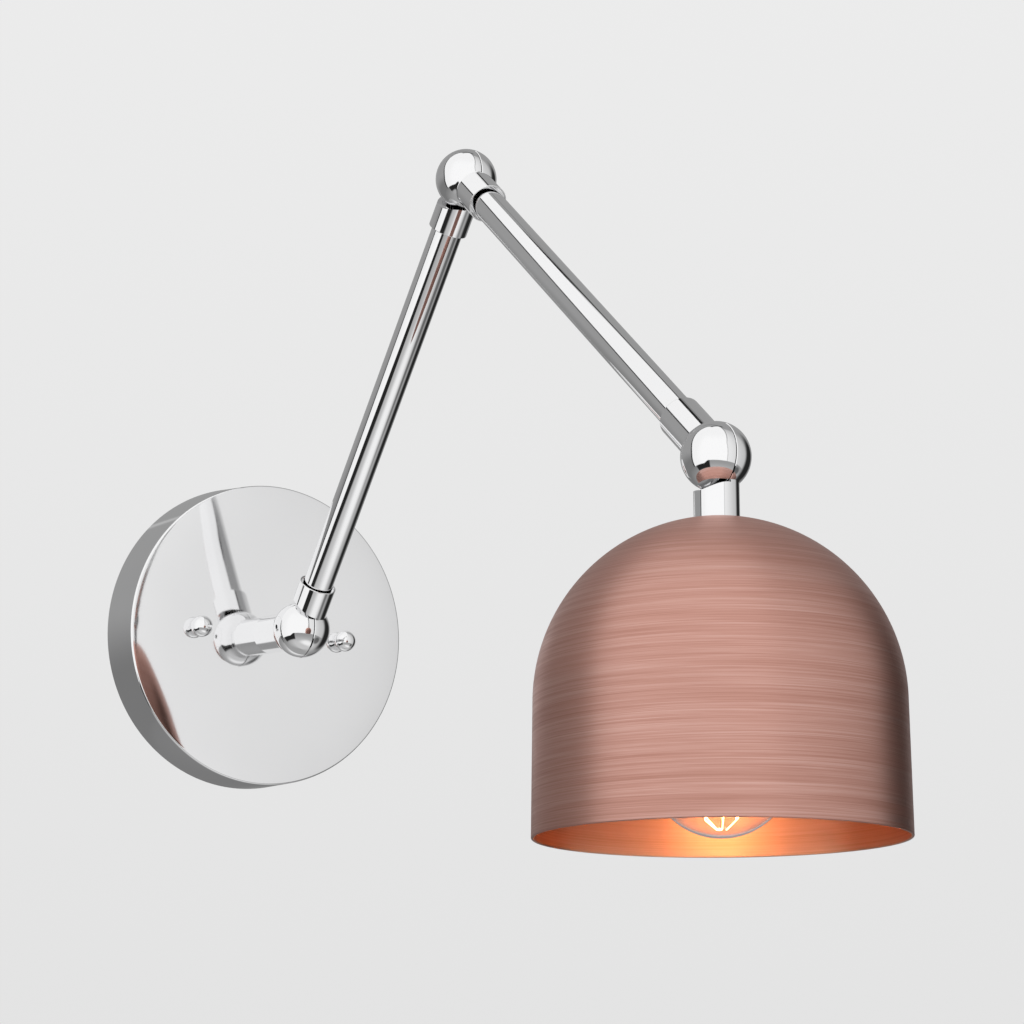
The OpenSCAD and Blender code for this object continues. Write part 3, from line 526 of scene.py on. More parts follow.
def true_normals(piece, outline, where, smooth=33.0):
    """Gives the turned faces of a cut piece the exact normals of the outline that they were turned from."""
    mesh = piece.data
    soft_shading(mesh, smooth)
    back = where.inverted()
    spin = where.to_3x3()
    lines = []
    for (r0, z0), (r1, z1) in zip(outline, outline[1:] + outline[:1]):
        length = hypot(r1 - r0, z1 - z0)
        if length > 1e-6:
            lines.append((Vector((r0, z0)), Vector((r1, z1)), Vector((z1 - z0, r0 - r1)) / length))
    normals = [Vector(c.vector) for c in mesh.corner_normals]
    flat = [Vector((hypot(p.x, p.y), p.z)) / MM for p in (back @ v.co for v in mesh.vertices)]
    bent = cos(radians(smooth))
    for face in mesh.polygons:
        if face.material_index:
            continue
        middle = back @ face.center
        at = Vector((hypot(middle.x, middle.y), middle.z)) / MM
        facing = back.to_3x3() @ face.normal
        out = Vector((middle.x, middle.y)).normalized() if middle.xy.length > 1e-9 else Vector((1, 0))
        lean = Vector((facing.x * out.x + facing.y * out.y, facing.z))
        best, line = 1e9, None
        for k, (a, b, n) in enumerate(lines):
            if abs(lean.dot(n)) < 0.9:
                continue
            t = min(max((at - a).dot(b - a) / (b - a).length_squared, 0), 1)
            gap = (at - a.lerp(b, t)).length
            if gap < best:
                best, line = gap, k
        if line is None or best > 0.3:
            continue
        a, b, n = lines[line]
        before, after = lines[line - 1][2], lines[(line + 1) % len(lines)][2]
        n0 = (n + before).normalized() if n.dot(before) > bent else n
        n1 = (n + after).normalized() if n.dot(after) > bent else n
        for loop in face.loop_indices:
            vertex = mesh.loops[loop].vertex_index
            t = min(max((flat[vertex] - a).dot(b - a) / (b - a).length_squared, 0), 1)
            slope = n0.lerp(n1, t).normalized()
            p = back @ mesh.vertices[vertex].co
            ray = p.xy.normalized() if p.xy.length > 1e-7 else out
            normal = spin @ Vector((slope.x * ray.x, slope.x * ray.y, slope.y))
            normals[loop] = normal if normal.dot(face.normal) > 0 else -normal
    mesh.normals_split_custom_set([tuple(n.normalized()) for n in normals])


# Balls, necks and caps

def split_tool(name, side, where, threaded):
    """What is taken off a ball and neck to leave the half on one side, with its wire room and screw hole."""
    bevel, shaft, groove = 0.22, 26.0, 1.5
    face = -SPLIT
    hole = [(0, -7.4), (2.5, -7.4), (2.5, -0.4)] if threaded else \
        [(0, -BALL_R - 1), (4.4, -BALL_R - 1), (4.4, -6.6), (2.55, -6.6), (2.55, -0.4)]
    track = [(9.62, face), (9.62, face - groove), (11.62, face - groove), (11.62, face)]
    outline = hole + [(5.02, -0.4), (5.02, -5), (9.0, -5), (9.0, face)] + ([] if threaded else track)
    outline += [(BALL_R - bevel, face), (BALL_R + HAIR, face - bevel - HAIR),
                (BALL_R + TURN_GAP, face - bevel - HAIR), (BALL_R + TURN_GAP, shaft), (0, shaft)]
    if side > 0:
        outline = [(r, -x) for r, x in outline]
    return lathe(name, outline, where @ ALONG_X, TURNED, segments=96)


def half(name, side, centre, turn, neck, body, node, threaded):
    """Half of a split ball with its neck; neck is (radius, outline above the root)."""
    neck_r, above = neck
    where = place(centre, turn)
    outline = ball_with_root(neck_r, 0.5) + soften([(neck_r, BALL_R)] + above)[1:]
    piece = lathe(name, outline, where, FINISH["polished_chrome"], segments=144)
    cut_with(piece, split_tool(name + "_tool", side, where, threaded))
    true_normals(piece, outline, where)
    return hand_in(piece, body, "polished_chrome", node)


def collar_outline(length):
    """Collar from the root: rounded lip, recess round the tube, and the tube's seat."""
    recess = COLLAR_R - LIP
    return (COLLAR_R, [(COLLAR_R, length, 0.25), (recess, length, 0.22), (recess, length - MOUTH_DEPTH),
                       (TUBE_R + HAIR, length - MOUTH_DEPTH), (TUBE_R + HAIR, TUBE_END),
                       (WIRE_WAY_R, TUBE_END), (WIRE_WAY_R, WIRE_WAY_START), (0, WIRE_WAY_START)])


def plain_neck(radius, length):
    """Neck from the root: a fine edge where it seats, and the nipple's hole."""
    hole = NIPPLE_R + HAIR
    return (radius, [(radius, length, 0.18), (hole, length, 0.15), (hole, length - NIPPLE_SOCKET),
                     (WIRE_WAY_R, length - NIPPLE_SOCKET), (WIRE_WAY_R, WIRE_WAY_START), (0, WIRE_WAY_START)])


def hand_in(piece, body, slot, *nodes):
    """Hangs a finished piece on its body's empty and hides the CAD nodes that it stands in for."""
    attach(piece, body)
    if nodes:
        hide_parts(*nodes)
    return piece


def turned(name, outline, where, body, slot, node, segments):
    """A lathe piece, hung on its body as it comes."""
    hand_in(lathe(name, outline, where, FINISH[slot], segments), body, slot, node)


def make_halves():
    short, long = collar_outline(SHORT_COLLAR), collar_outline(LONG_COLLAR)
    stem, neck = plain_neck(STEM_R, STEM_REACH), plain_neck(SHADE_NECK_R, SHADE_DROP)
    down, back_down, out, back_out = LOWER_TURN, LOWER_TURN + pi, UPPER_TURN, UPPER_TURN + pi
    for name, side, centre, turn, shape, body, node, threaded in (
            ("stem_half", -1, SHOULDER, radians(270), stem, "wall_mount", "stem_ball_half", False),
            ("lower_arm_first_half", 1, SHOULDER, down, short, "lower_arm", "lower_arm_ball_half", True),
            ("lower_arm_second_half", 1, ELBOW, back_down, short, "lower_arm", "lower_elbow_half", False),
            ("upper_arm_first_half", -1, ELBOW, out, short, "upper_arm", "upper_elbow_half", True),
            ("upper_arm_second_half", -1, TILT, back_out, long, "upper_arm", "upper_arm_end_half", True),
            ("shade_neck", 1, TILT, SHADE_TURN, neck, "shade_head", "shade_neck_half", False)):
        half(name, side, centre, turn, shape, body, node, threaded)


def make_caps():
    """Plugs that close the screw pockets, flush with the balls, each with its small hole."""
    cap_r, hole_r, floor = 4.38, 0.9, BALL_R - 1.8
    start, end = asin(hole_r / BALL_R) * 180 / pi, asin(cap_r / BALL_R) * 180 / pi
    face = [(BALL_R * sin(radians(a)), BALL_R * cos(radians(a))) for a in
            [end - (end - start) * k / 8 for k in range(9)]]
    outline = soften([(hole_r, floor), (cap_r, floor)] + face[:-1] + [(*face[-1], 0.2)], closed=True)
    chrome_plate = FINISH["polished_chrome"]
    for name, side, centre, body in (("shoulder_cap", -1, SHOULDER, "wall_mount"),
                                     ("elbow_cap", 1, ELBOW, "lower_arm"),
                                     ("tilt_cap", 1, TILT, "shade_head")):
        sided = [(r, side * x) for r, x in outline]
        piece = lathe(name + "_plug", sided, Matrix.Translation(centre) @ ALONG_X, chrome_plate, 64, 50)
        hand_in(piece, body, "polished_chrome", name)


def make_tubes():
    for name, start, end, body in (("lower_arm_tube", SHOULDER, ELBOW, "lower_arm"),
                                   ("upper_arm_tube", ELBOW, TILT, "upper_arm")):
        length = (end - start).length / MM - 2 * TUBE_END
        outline = soften([(TUBE_BORE_R, 0), (TUBE_R, 0, 0.15), (TUBE_R, length, 0.15), (TUBE_BORE_R, length)],
                         closed=True)
        where = place(start, turn_to(end - start)) @ up(TUBE_END)
        turned(name + "_plated", outline, where, body, "polished_chrome", name, 96)


# Canopy group

def make_canopy():
    inner_r, inner_z = CANOPY_RIM_R - CANOPY_WALL, CANOPY_DEPTH - CANOPY_WALL
    hole = NIPPLE_R + 0.2
    steps = 40
    radii = [hole + (CANOPY_FACE_R - hole) * k / steps for k in range(steps)]
    # The face is nearly flat in the middle and falls away towards its edge
    rim_z = CANOPY_DEPTH + CANOPY_DOME - CANOPY_FALL
    face = [(r, rim_z + CANOPY_FALL * (1 - (r / CANOPY_FACE_R) ** 6)) for r in radii]
    edge = [(CANOPY_FACE_R, rim_z, CANOPY_EDGE - 0.6), (CANOPY_RIM_R, 0, 0.3), (inner_r, 0, 0.3)]
    inside = [(inner_r - 1, inner_z - 1.2, CANOPY_EDGE - CANOPY_WALL), (0.8 * inner_r, inner_z, 6)]
    outline = soften(face + edge + inside + [(hole, inner_z)], closed=True, step=6)
    piece = lathe("canopy_spun", outline, OUT_OF_WALL, SPUN, 192)
    drills = [lathe("drill", [(0, 20), (STUD_R + 0.3, 20), (STUD_R + 0.3, 26), (0, 26)],
                    OUT_OF_WALL @ move(s * STUD_X), TURNED, 48) for s in (-1, 1)]
    cut_with(piece, *drills)
    true_normals(piece, outline, OUT_OF_WALL)
    hand_in(piece, "wall_mount", "polished_chrome", "canopy")


def make_cap_nuts():
    neck_r, ball_r, reach, bore = 2.8, 4.7, 4.4, STUD_R + HAIR
    root = 0.5
    root_z = reach - sqrt((ball_r + root) ** 2 - (neck_r + root) ** 2)
    meet = atan2(root_z - reach, neck_r + root) * 180 / pi
    outline = soften([(0, reach + 0.5), (bore, reach + 0.5), (bore, 0), (neck_r + 0.25, 0, 0.1),
                      (neck_r + 0.25, 0.5, 0.15), (neck_r, 0.7), (neck_r, root_z)])
    outline += arc(neck_r + root, root_z, root, 180, meet + 180, 15)[1:] + arc(0, reach, ball_r, meet, 90)[1:]
    pair = [lathe("ball_cap_nuts_turned", outline, OUT_OF_WALL @ move(s * STUD_X, 0, CANOPY_DEPTH),
                  FINISH["polished_chrome"], 72) for s in (-1, 1)]
    hand_in(joined(pair), "wall_mount", "polished_chrome", "ball_cap_nuts")


def joined(pieces):
    """One piece from several, with the first one's name."""
    bm = bmesh.new()
    finishes = []
    for piece in pieces:
        offset = len(bm.faces)
        bm.from_mesh(piece.data)
        bm.faces.ensure_lookup_table()
        places = []
        for finish in piece.data.materials:
            if finish not in finishes:
                finishes.append(finish)
            places.append(finishes.index(finish))
        for face in bm.faces[offset:]:
            face.material_index = places[face.material_index] if places else 0
    mesh = bpy.data.meshes.new(pieces[0].name)
    bm.to_mesh(mesh)
    bm.free()
    name = pieces[0].name
    for piece in pieces:
        bpy.data.objects.remove(piece)
    return new_object(name, mesh, finishes)


# Shade

def make_shade():
    rise = -asin(DOME_DEPTH / DOME_R) * 180 / pi
    inner_r = DOME_R - SHADE_WALL
    inner_rise = -asin((DOME_DEPTH - SHADE_WALL) / inner_r) * 180 / pi
    hole = NIPPLE_R + 0.2
    outside = arc(0, DOME_DEPTH, DOME_R, rise, 0, 1.5)
    inside = arc(0, DOME_DEPTH, inner_r, 0, inner_rise, 1.5)
    skirt = [DOME_DEPTH + (SHADE_H - DOME_DEPTH) * k / 12 for k in range(1, 12)]
    grow = SHADE_FLARE / (SHADE_H - DOME_DEPTH)
    corners = [(hole, 0), (*outside[0], 4.0)] + outside[1:]
    corners += [(DOME_R + grow * (z - DOME_DEPTH), z) for z in skirt]
    corners += [(DOME_R + SHADE_FLARE, SHADE_H, 0.4), (inner_r + SHADE_FLARE, SHADE_H, 0.4)]
    corners += [(inner_r + grow * (z - DOME_DEPTH), z) for z in reversed(skirt)]
    corners += inside + [(hole, SHADE_WALL)]
    outline, around = soften(corners, closed=True), 192
    piece = lathe("shade_spun", outline, BELOW_SEAT, FINISH["brushed_copper"], around)
    # The inner faces take the copper whose brighter, more orange tones are painted bulb glow.
    piece.data.materials.append(GLOW_TINTED_INSIDE_COPPER)
    rim = max(i for i, point in enumerate(outline) if point[1] > SHADE_H - 0.01)
    for face in piece.data.polygons[rim * around:]:
        face.material_index = 1
    hand_in(piece, "shade_head", "brushed_copper", "shade")


def make_globe():
    def skin(gap):
        radius, neck, blend = GLOBE_R - gap, NECK_R - gap, BLEND_R + gap
        waist = GLOBE_DEPTH - sqrt((GLOBE_R + BLEND_R) ** 2 - (NECK_R + BLEND_R) ** 2)
        meet = atan2(GLOBE_DEPTH - waist, -(NECK_R + BLEND_R)) * 180 / pi
        return [(neck, NECK_TOP)] + arc(neck + blend, waist, blend, 180, meet, 4) + arc(
            0, GLOBE_DEPTH, radius, meet - 180, 90, 3)[1:]

    outline = list(reversed(skin(GLASS))) + skin(0)
    outline[0], outline[-1] = (0, outline[0][1]), (0, outline[-1][1])
    turned("globe_blown", outline, BELOW_SEAT, "shade_head", "clear_glass", "bulb_globe", 128)


# Small parts: what repeats in them is made with Geometry Nodes

class Builder(Graph):
    """A Geometry Nodes tree whose sizes are named inputs."""

    def __init__(self, name, **sizes):
        super().__init__(bpy.data.node_groups.new(name, "GeometryNodeTree"))
        self.name, self.values = name, {}
        sockets = self.tree.interface
        sockets.new_socket("Geometry", in_out="OUTPUT", socket_type="NodeSocketGeometry")
        for key, value in sizes.items():
            kind = "NodeSocketInt" if isinstance(value, int) else "NodeSocketFloat"
            self.values[sockets.new_socket(key, in_out="INPUT", socket_type=kind).identifier] = value
        given = self.node("NodeGroupInput").outputs
        self.size = {key: given[key] for key in sizes}

    def vector(self, x=0.0, y=0.0, z=0.0):
        made = self.node("ShaderNodeCombineXYZ")
        self.feed(made.inputs, (x, y, z))
        return made.outputs[0]

    def use(self, kind, settings=None, **inputs):
        """First output of a new node; its inputs are named with _ for each space."""
        made = self.node(kind, **(settings or {}))
        for key, value in inputs.items():
            socket = made.inputs[key.replace("_", " ")]
            if isinstance(value, bpy.types.NodeSocket):
                self.link(value, socket)
            else:
                socket.default_value = value
        return made.outputs[0]

    def source(self, piece):
        info = self.node("GeometryNodeObjectInfo")
        info.inputs["Object"].default_value = piece
        return info.outputs["Geometry"]

    def build(self, geometry, finish, where, spent=None):
        """Runs the tree on an empty carrier, keeps the plain mesh that it makes and drops a spent source."""
        real = self.use("GeometryNodeRealizeInstances", Geometry=geometry)
        dressed = self.use("GeometryNodeSetMaterial", Geometry=real, Material=finish)
        self.link(dressed, self.node("NodeGroupOutput").inputs[0])
        carrier = new_object(self.name, bpy.data.meshes.new(self.name), [])
        run = carrier.modifiers.new("build", "NODES")
        run.node_group = self.tree
        for key, value in self.values.items():
            run[key] = value
        mesh = baked_mesh(carrier)
        carrier.modifiers.clear()
        for done in (carrier, spent):
            if done:
                bpy.data.objects.remove(done)
        mesh.transform(where)
        soft_shading(mesh, 33)
        return new_object(self.name, mesh, [])


def thread(name, crest, pitch, start, length, finish, where, rise=0.0, sides=3, points=20):
    """A helical ridge with its crest at a radius: a sharp thread, or a round one of a given rise."""
    g = Builder(name, Crest=crest * MM, Pitch=pitch * MM, Start=start * MM, Length=length * MM,
                Rise=(rise or 0.55 * pitch) * MM, Sides=sides, Points=points)
    size = g.size
    way = g.minus(size["Crest"], size["Rise"])
    turns = g.math("DIVIDE", size["Length"], size["Pitch"])
    helix = g.use("GeometryNodeCurveSpiral", Resolution=size["Points"], Start_Radius=way, End_Radius=way,
                  Rotations=turns, Height=size["Length"])
    helix = g.use("GeometryNodeSetCurveNormal", {"mode": "Z_UP"}, Curve=helix)
    ridge = g.use("GeometryNodeCurvePrimitiveCircle", Resolution=size["Sides"], Radius=size["Rise"])
    ridge = g.use("GeometryNodeTransform", Geometry=ridge, Rotation=(0, 0, pi))
    coil = g.use("GeometryNodeCurveToMesh", Curve=helix, Profile_Curve=ridge, Fill_Caps=True)
    coil = g.use("GeometryNodeTransform", Geometry=coil, Translation=g.vector(z=size["Start"]))
    return g.build(coil, finish, where)


def in_row(name, piece, count, spacing, finish, where):
    """Copies of a piece in a row along X, its middle at the origin."""
    g = Builder(name, Count=count, Spacing=spacing * MM)
    size = g.size
    span = g.times(g.minus(size["Count"], 1.0), size["Spacing"])
    first = g.times(span, -0.5)
    row = g.use("GeometryNodeMeshLine", Count=size["Count"], Start_Location=g.vector(first),
                Offset=g.vector(size["Spacing"]))
    copies = g.use("GeometryNodeInstanceOnPoints", Points=row, Instance=g.source(piece))
    return g.build(copies, finish, where, piece)


def in_ring(name, piece, count, radius, finish, where):
    """Copies of a piece on a ring round Z, each turned to face outwards."""
    g = Builder(name, Count=count, Radius=radius * MM)
    size = g.size
    ring = g.use("GeometryNodeMeshCircle", Vertices=size["Count"], Radius=size["Radius"])
    turn = g.math("DIVIDE", g.times(g.use("GeometryNodeInputIndex"), 2 * pi), size["Count"])
    facing = g.vector(z=turn)
    copies = g.use("GeometryNodeInstanceOnPoints", Points=ring, Instance=g.source(piece), Rotation=facing)
    return g.build(copies, finish, where, piece)


def plate(name, loops, thickness, where, finish, bevel=0.2):
    """Flat piece: its outline runs anticlockwise and its holes clockwise, and all its edges are broken."""
    bm = bmesh.new()
    ends = ([], [])
    for loop in loops:
        count = len(loop)
        inward = []
        for i in range(count):
            before, here, after = (Vector(loop[k % count]) for k in (i - 1, i, i + 1))
            ahead = ((here - before).normalized() + (after - here).normalized()).normalized()
            inward.append(Vector((-ahead.y, ahead.x)))
        rings = []
        for inset, z in ((bevel, 0), (0, bevel), (0, thickness - bevel), (bevel, thickness)):
            spots = [Vector(p) + n * inset for p, n in zip(loop, inward)]
            rings.append([bm.verts.new((p.x * MM, p.y * MM, z * MM)) for p in spots])
        for low, high in zip(rings, rings[1:]):
            for i in range(count):
                bm.faces.new((low[i - 1], low[i], high[i], high[i - 1]))
        for end, ring in zip(ends, (rings[0], rings[-1])):
            end += [bm.edges.get((ring[i - 1], ring[i])) for i in range(count)]
    for end in ends:
        bmesh.ops.triangle_fill(bm, use_beauty=True, use_dissolve=False, edges=end)
    bmesh.ops.recalc_face_normals(bm, faces=bm.faces)
    return from_bmesh(name, bm, where, finish)


def oblong(width, height, rounding):
    """Anticlockwise outline of a plate with rounded corners."""
    x, y = width / 2, height / 2
    return soften([(-x, -y, rounding), (x, -y, rounding), (x, y, rounding), (-x, y, rounding)], closed=True)


def hole(radius, x=0.0, y=0.0, run=0.0, steps=20):
    """Clockwise outline of a hole, drawn out along X by its run."""
    right = [(x + run / 2 + radius * cos(a), y + radius * sin(a)) for a in
             (pi / 2 - pi * k / steps for k in range(steps + 1))]
    left = [(2 * x - px, 2 * y - py) for px, py in right]
    return right + (left if run else left[1:-1])


def hex_nut(name, across, height, bore, finish, where=Matrix()):
    """Nut with six sides, its corners chamfered on both faces."""
    corner, flat = across / sqrt(3), across / 2
    six = [(corner * cos(k * pi / 3), corner * sin(k * pi / 3)) for k in range(6)]
    nut = plate(name, [six, hole(bore)], height, where, finish, 0.15)
    fall = (corner - flat) * tan(radians(30)) * 1.3
    drum = [(0, -0.1), (flat - 0.1, -0.1), (corner + 0.1, fall), (corner + 0.1, height - fall),
            (flat - 0.1, height + 0.1), (0, height + 0.1)]
    cut_with(nut, lathe("chamfer", drum, where, finish, 96), operation="INTERSECT")
    soft_shading(nut.data, 25)
    return nut


def make_strap():
    """Mounting strap with its stud holes, box slots, nipple hole and a tapped hole for the earth screw."""
    run = SLOT_L - SLOT_W
    holes = [hole(STRAP_HOLE_R, steps=36), hole(STUD_R + HAIR, EARTH_X)]
    for side in (-1, 1):
        holes += [hole(STUD_R + HAIR, side * STUD_X), hole(SLOT_W / 2, side * BOX_SPACING / 2, 0, run)]
    outline = oblong(BOX_SPACING + SLOT_L + 2 * STRAP_END, STRAP_W, 5.0)
    strap = plate("strap_plate", [outline] + holes, STRAP_T, OUT_OF_WALL, FINISH["zinc_steel"], 0.25)
    hand_in(strap, "wall_mount", "zinc_steel", "wall_strap")


def make_studs():
    zinc_steel, length, root = FINISH["zinc_steel"], CANOPY_DEPTH + 4.4, STUD_R - 0.38
    rod = [(0, 0), (root - 0.3, 0), (root, 0.3), (root, length - 0.8), (root - 0.6, length), (0, length)]
    one = joined([lathe("stud_rod", rod, Matrix(), zinc_steel, 40),
                  thread("stud_thread", STUD_R, 0.8, 0.5, length - 1.6, zinc_steel, Matrix())])
    hand_in(in_row("threaded_studs", one, 2, 2 * STUD_X, zinc_steel, OUT_OF_WALL), "wall_mount", "zinc_steel",
            "canopy_studs")
    nut = hex_nut("stud_nut", 3.5 * STUD_R, 1.6 * STUD_R, STUD_R + HAIR, zinc_steel)
    row = in_row("stud_nuts", nut, 2, 2 * STUD_X, zinc_steel, OUT_OF_WALL @ up(STRAP_T))
    hand_in(row, "wall_mount", "zinc_steel", "stud_lock_nuts")


def make_nipple(name, body, node, where, length):
    """Threaded tube with its start at the origin of the frame that it is given in."""
    root = NIPPLE_R - 0.42
    bore = NIPPLE_BORE_R
    tube = soften([(bore, 0, 0.2), (root, 0, 0.3), (root, length, 0.3), (bore, length, 0.2)], closed=True)
    finish = FINISH["zinc_steel"]
    piece = joined([lathe(name, tube, where, finish, 72),
                    thread(name + "_thread", NIPPLE_R, 0.94, 0.6, length - 1.2, finish, where)])
    hand_in(piece, body, "zinc_steel", node)


def make_tooth_washer(name, body, node, where):
    """Spring washer with teeth round its rim, each twisted out of its plane."""
    outer, rim, inner, finish = 7.5, 6.3, NIPPLE_R + 0.15, FINISH["zinc_steel"]
    sheet, tooth_t = 0.46, 0.4
    low, high = (WASHER_T - sheet) / 2, (WASHER_T + sheet) / 2
    band = soften([(inner, low, 0.08), (rim, low), (rim, high), (inner, high, 0.08)], closed=True)
    twist = up(WASHER_T / 2) @ Matrix.Rotation(radians(11), 4, "X") @ up(-tooth_t / 2)
    tip, root_w, tip_w = outer - rim - 0.08, 0.85, 0.7
    shape = [(-0.3, -root_w), (tip, -tip_w), (tip, tip_w), (-0.3, root_w)]
    tooth = plate("tooth", [shape], tooth_t, twist, finish, 0.06)
    teeth = in_ring(name + "_teeth", tooth, 12, rim, finish, where)
    hand_in(joined([lathe(name, band, where, finish, 96), teeth]), body, "zinc_steel", node)


def make_nipples():
    stem, hold = place(SHOULDER, radians(270)), NIPPLE_SOCKET - 0.5
    behind_face = stem @ up(STEM_REACH + CANOPY_WALL)
    tail = CANOPY_WALL + WASHER_T + 3.2 + 1.6
    start = stem @ up(STEM_REACH - hold)
    make_nipple("stem_nipple_threaded", "wall_mount", "stem_nipple", start, hold + tail)
    make_tooth_washer("stem_tooth_washer", "wall_mount", "stem_lock_washer", behind_face)
    nut_seat = behind_face @ up(WASHER_T)
    nut = hex_nut("stem_hex_nut", 15.0, 3.2, NIPPLE_R + HAIR, FINISH["zinc_steel"], nut_seat)
    hand_in(nut, "wall_mount", "zinc_steel", "stem_lock_nut")
    tail = CAP_TOP + CAP_WALL + CAP_HUB
    make_nipple("shade_nipple_threaded", "shade_head", "shade_nipple", BELOW_SEAT @ up(-hold), hold + tail)
    make_tooth_washer("shade_tooth_washer", "shade_head", "shade_lock_washer", BELOW_SEAT @ up(SHADE_WALL))


def slotted(piece, width, depth_from, across, where):
    """Cuts a screwdriver slot across a head."""
    slot = oblong(across, width, 0.05)
    return cut_with(piece, plate("slot", [slot], 3, where @ up(depth_from), TURNED, 0.05))


def make_screws():
    green, brass_like = FINISH["green_zinc"], FINISH["holder_brass"]
    where = OUT_OF_WALL @ move(EARTH_X)
    root, head_r, top = STUD_R - 0.38, 1.8 * STUD_R, STRAP_T + 1.2 * STUD_R
    outline = soften([(0, 0), (root, 0, 0.3), (root, STRAP_T), (head_r, STRAP_T, 0.2), (head_r, top, 1.3),
                      (0, top)])
    head = slotted(lathe("earth_head", outline, where, green, 72), 1.0, STRAP_T + 1.4, 9, where)
    soft_shading(head.data, 33)
    screw = joined([head, thread("earth_thread", STUD_R, 0.8, 0.5, STRAP_T - 0.7, green, where)])
    hand_in(screw, "wall_mount", "green_zinc", "earth_screw")

    shaft_r, shaft_l, head_h = 1.5, 4.0, 2.2
    core = shaft_r - 0.3
    end = shaft_l - 0.1
    outline = soften([(0, -head_h), (2.8, -head_h, 0.9), (2.8, 0, 0.15), (core, 0), (core, end, 0.3),
                      (0, end)])
    flip = Matrix.Rotation(pi, 4, "X")
    head = slotted(lathe("terminal_head", outline, Matrix(), brass_like, 56), 0.8, head_h - 0.9, 7, flip)
    soft_shading(head.data, 33)
    one = joined([head, thread("terminal_thread", shaft_r, 0.6, 0.4, shaft_l - 1.0, brass_like, Matrix())])
    row = in_row("terminal_pair", one, 2, 2 * TERMINAL_X, brass_like, BELOW_SEAT @ up(HOLDER_TOP))
    hand_in(row, "shade_head", "holder_brass", "terminal_screws")


def make_connectors():
    """Twist-on wire connectors: a ribbed cone with two wings."""
    plastic_cap = FINISH["connector_plastic"]
    mouth_r, tip_r, length, wing, wing_t, bore_r, bore_l = 5.4, 3.2, 20.0, 6.5, 1.6, 1.1, 8.0
    sink = 0.3
    outline = soften([(0, bore_l), (bore_r, bore_l), (bore_r, 1.2), (bore_r + 1.2, 0, 0.2),
                      (mouth_r - sink, 0, 0.6), (tip_r - sink, length, 1.2), (0, length)])
    lean = atan2(mouth_r - tip_r, length)
    bar = soften([(0, 0), (0.42, 0.5, 0.2), (0.42, length - 3.4, 0.2), (0, length - 2.9)])
    rib = lathe("rib", bar, up(1.0) @ Matrix.Rotation(-lean, 4, "Y"), plastic_cap, 12)
    cone = lathe("cone", outline, Matrix(), plastic_cap, 64)
    ribs = in_ring("ribs", rib, 18, mouth_r - 0.45, plastic_cap, Matrix())
    edge = soften([(-wing, 0, 1.0), (wing, 0, 1.0), (wing, 0.6 * length - 4, 2.5), (3.0, 0.6 * length, 0.5),
                   (-3.0, 0.6 * length, 0.5), (-wing, 0.6 * length - 4, 2.5)], closed=True)
    upright = Matrix.Rotation(pi / 2, 4, "X") @ up(-wing_t / 2)
    slab = plate("wings", [edge], wing_t, upright, plastic_cap, 0.3)
    room = [(0, -1), (bore_r + 0.4, -1), (bore_r + 0.4, bore_l), (0, bore_l)]
    cut_with(slab, lathe("room", room, Matrix(), plastic_cap, 32))
    one = joined([cone, ribs, slab])
    pair = []
    for side in (1, -1):
        where = OUT_OF_WALL @ move(side * 1.9, 0.6 - side * 10, 8.0) @ Matrix.Rotation(side * pi / 2, 4, "X")
        mesh = one.data.copy()
        mesh.transform(where)
        pair.append(new_object("ribbed_connectors", mesh, []))
    bpy.data.objects.remove(one)
    hand_in(joined(pair), "wall_mount", "connector_plastic", "wire_connectors")


# Lamp holder and bulb

def make_holder():
    moulded = FINISH["phenolic"]
    bore, inner = NIPPLE_R + HAIR, CAP_R - CAP_WALL
    hub_r, hub_end = NIPPLE_R + 2, CAP_WALL + CAP_HUB
    outline = soften([(bore, 0, 0.1), (CAP_R, 0, CAP_EDGE), (CAP_R, CAP_H, 0.25), (inner, CAP_H, 0.25),
                      (inner, CAP_WALL, CAP_EDGE - CAP_WALL), (hub_r, CAP_WALL, 0.4), (hub_r, hub_end, 0.3),
                      (bore, hub_end, 0.3)], closed=True, step=6)
    turned("holder_cap_spun", outline, BELOW_SEAT @ up(CAP_TOP), "shade_head", "holder_brass", "holder_cap",
           128)

    # Moulded body, with a groove near its mouth
    where = BELOW_SEAT @ up(HOLDER_TOP)
    groove_r, groove, shell_room = HOLDER_R - 0.5, HOLDER_L - 4.2, SHELL_R + HAIR
    outline = soften([(RIVET_R, 0), (HOLDER_R, 0, 0.8), (HOLDER_R, groove, 0.3),
                      (groove_r, groove + 0.5, 0.3), (groove_r, groove + 1.6, 0.3),
                      (HOLDER_R, groove + 2.1, 0.3), (HOLDER_R, HOLDER_L, 0.9),
                      (shell_room, HOLDER_L, 0.8), (shell_room, HOLDER_FLOOR, 0.3), (RIVET_R, HOLDER_FLOOR)],
                     closed=True)
    holder = lathe("holder_moulded", outline, where, moulded, 128)
    drill = [(0, -1), (1.52, -1), (1.52, 4), (0, 4)]
    for side in (-1, 1):
        cut_with(holder, lathe("drill", drill, where @ move(side * TERMINAL_X), moulded, 32))
    true_normals(holder, outline, where)
    hand_in(holder, "shade_head", "phenolic", "holder_body")

    # Screw shell: thin sheet with a rolled wave that matches the bulb's thread
    where = BELOW_SEAT @ up(HOLDER_TOP + HOLDER_FLOOR)
    height, shell_bore, wave = HOLDER_L - HOLDER_FLOOR - 1, SHELL_R - SHELL_T, 0.12
    levels = [1 + 0.2 * k for k in range(int((height - 2) / 0.2))]
    wall = [(shell_bore + wave * (1 - cos(2 * pi * z / LAMP_PITCH)), z) for z in levels]
    outline = [(7, 0), (SHELL_R - 0.1, 0), (SHELL_R, 0.1), (SHELL_R, height - 0.1), (SHELL_R - 0.1, height),
               (shell_bore + 0.2, height)] + wall[::-1] + [(shell_bore, SHELL_T), (7, SHELL_T)]
    turned("holder_shell_rolled", outline, where, "shade_head", "holder_brass", "holder_shell", 96)


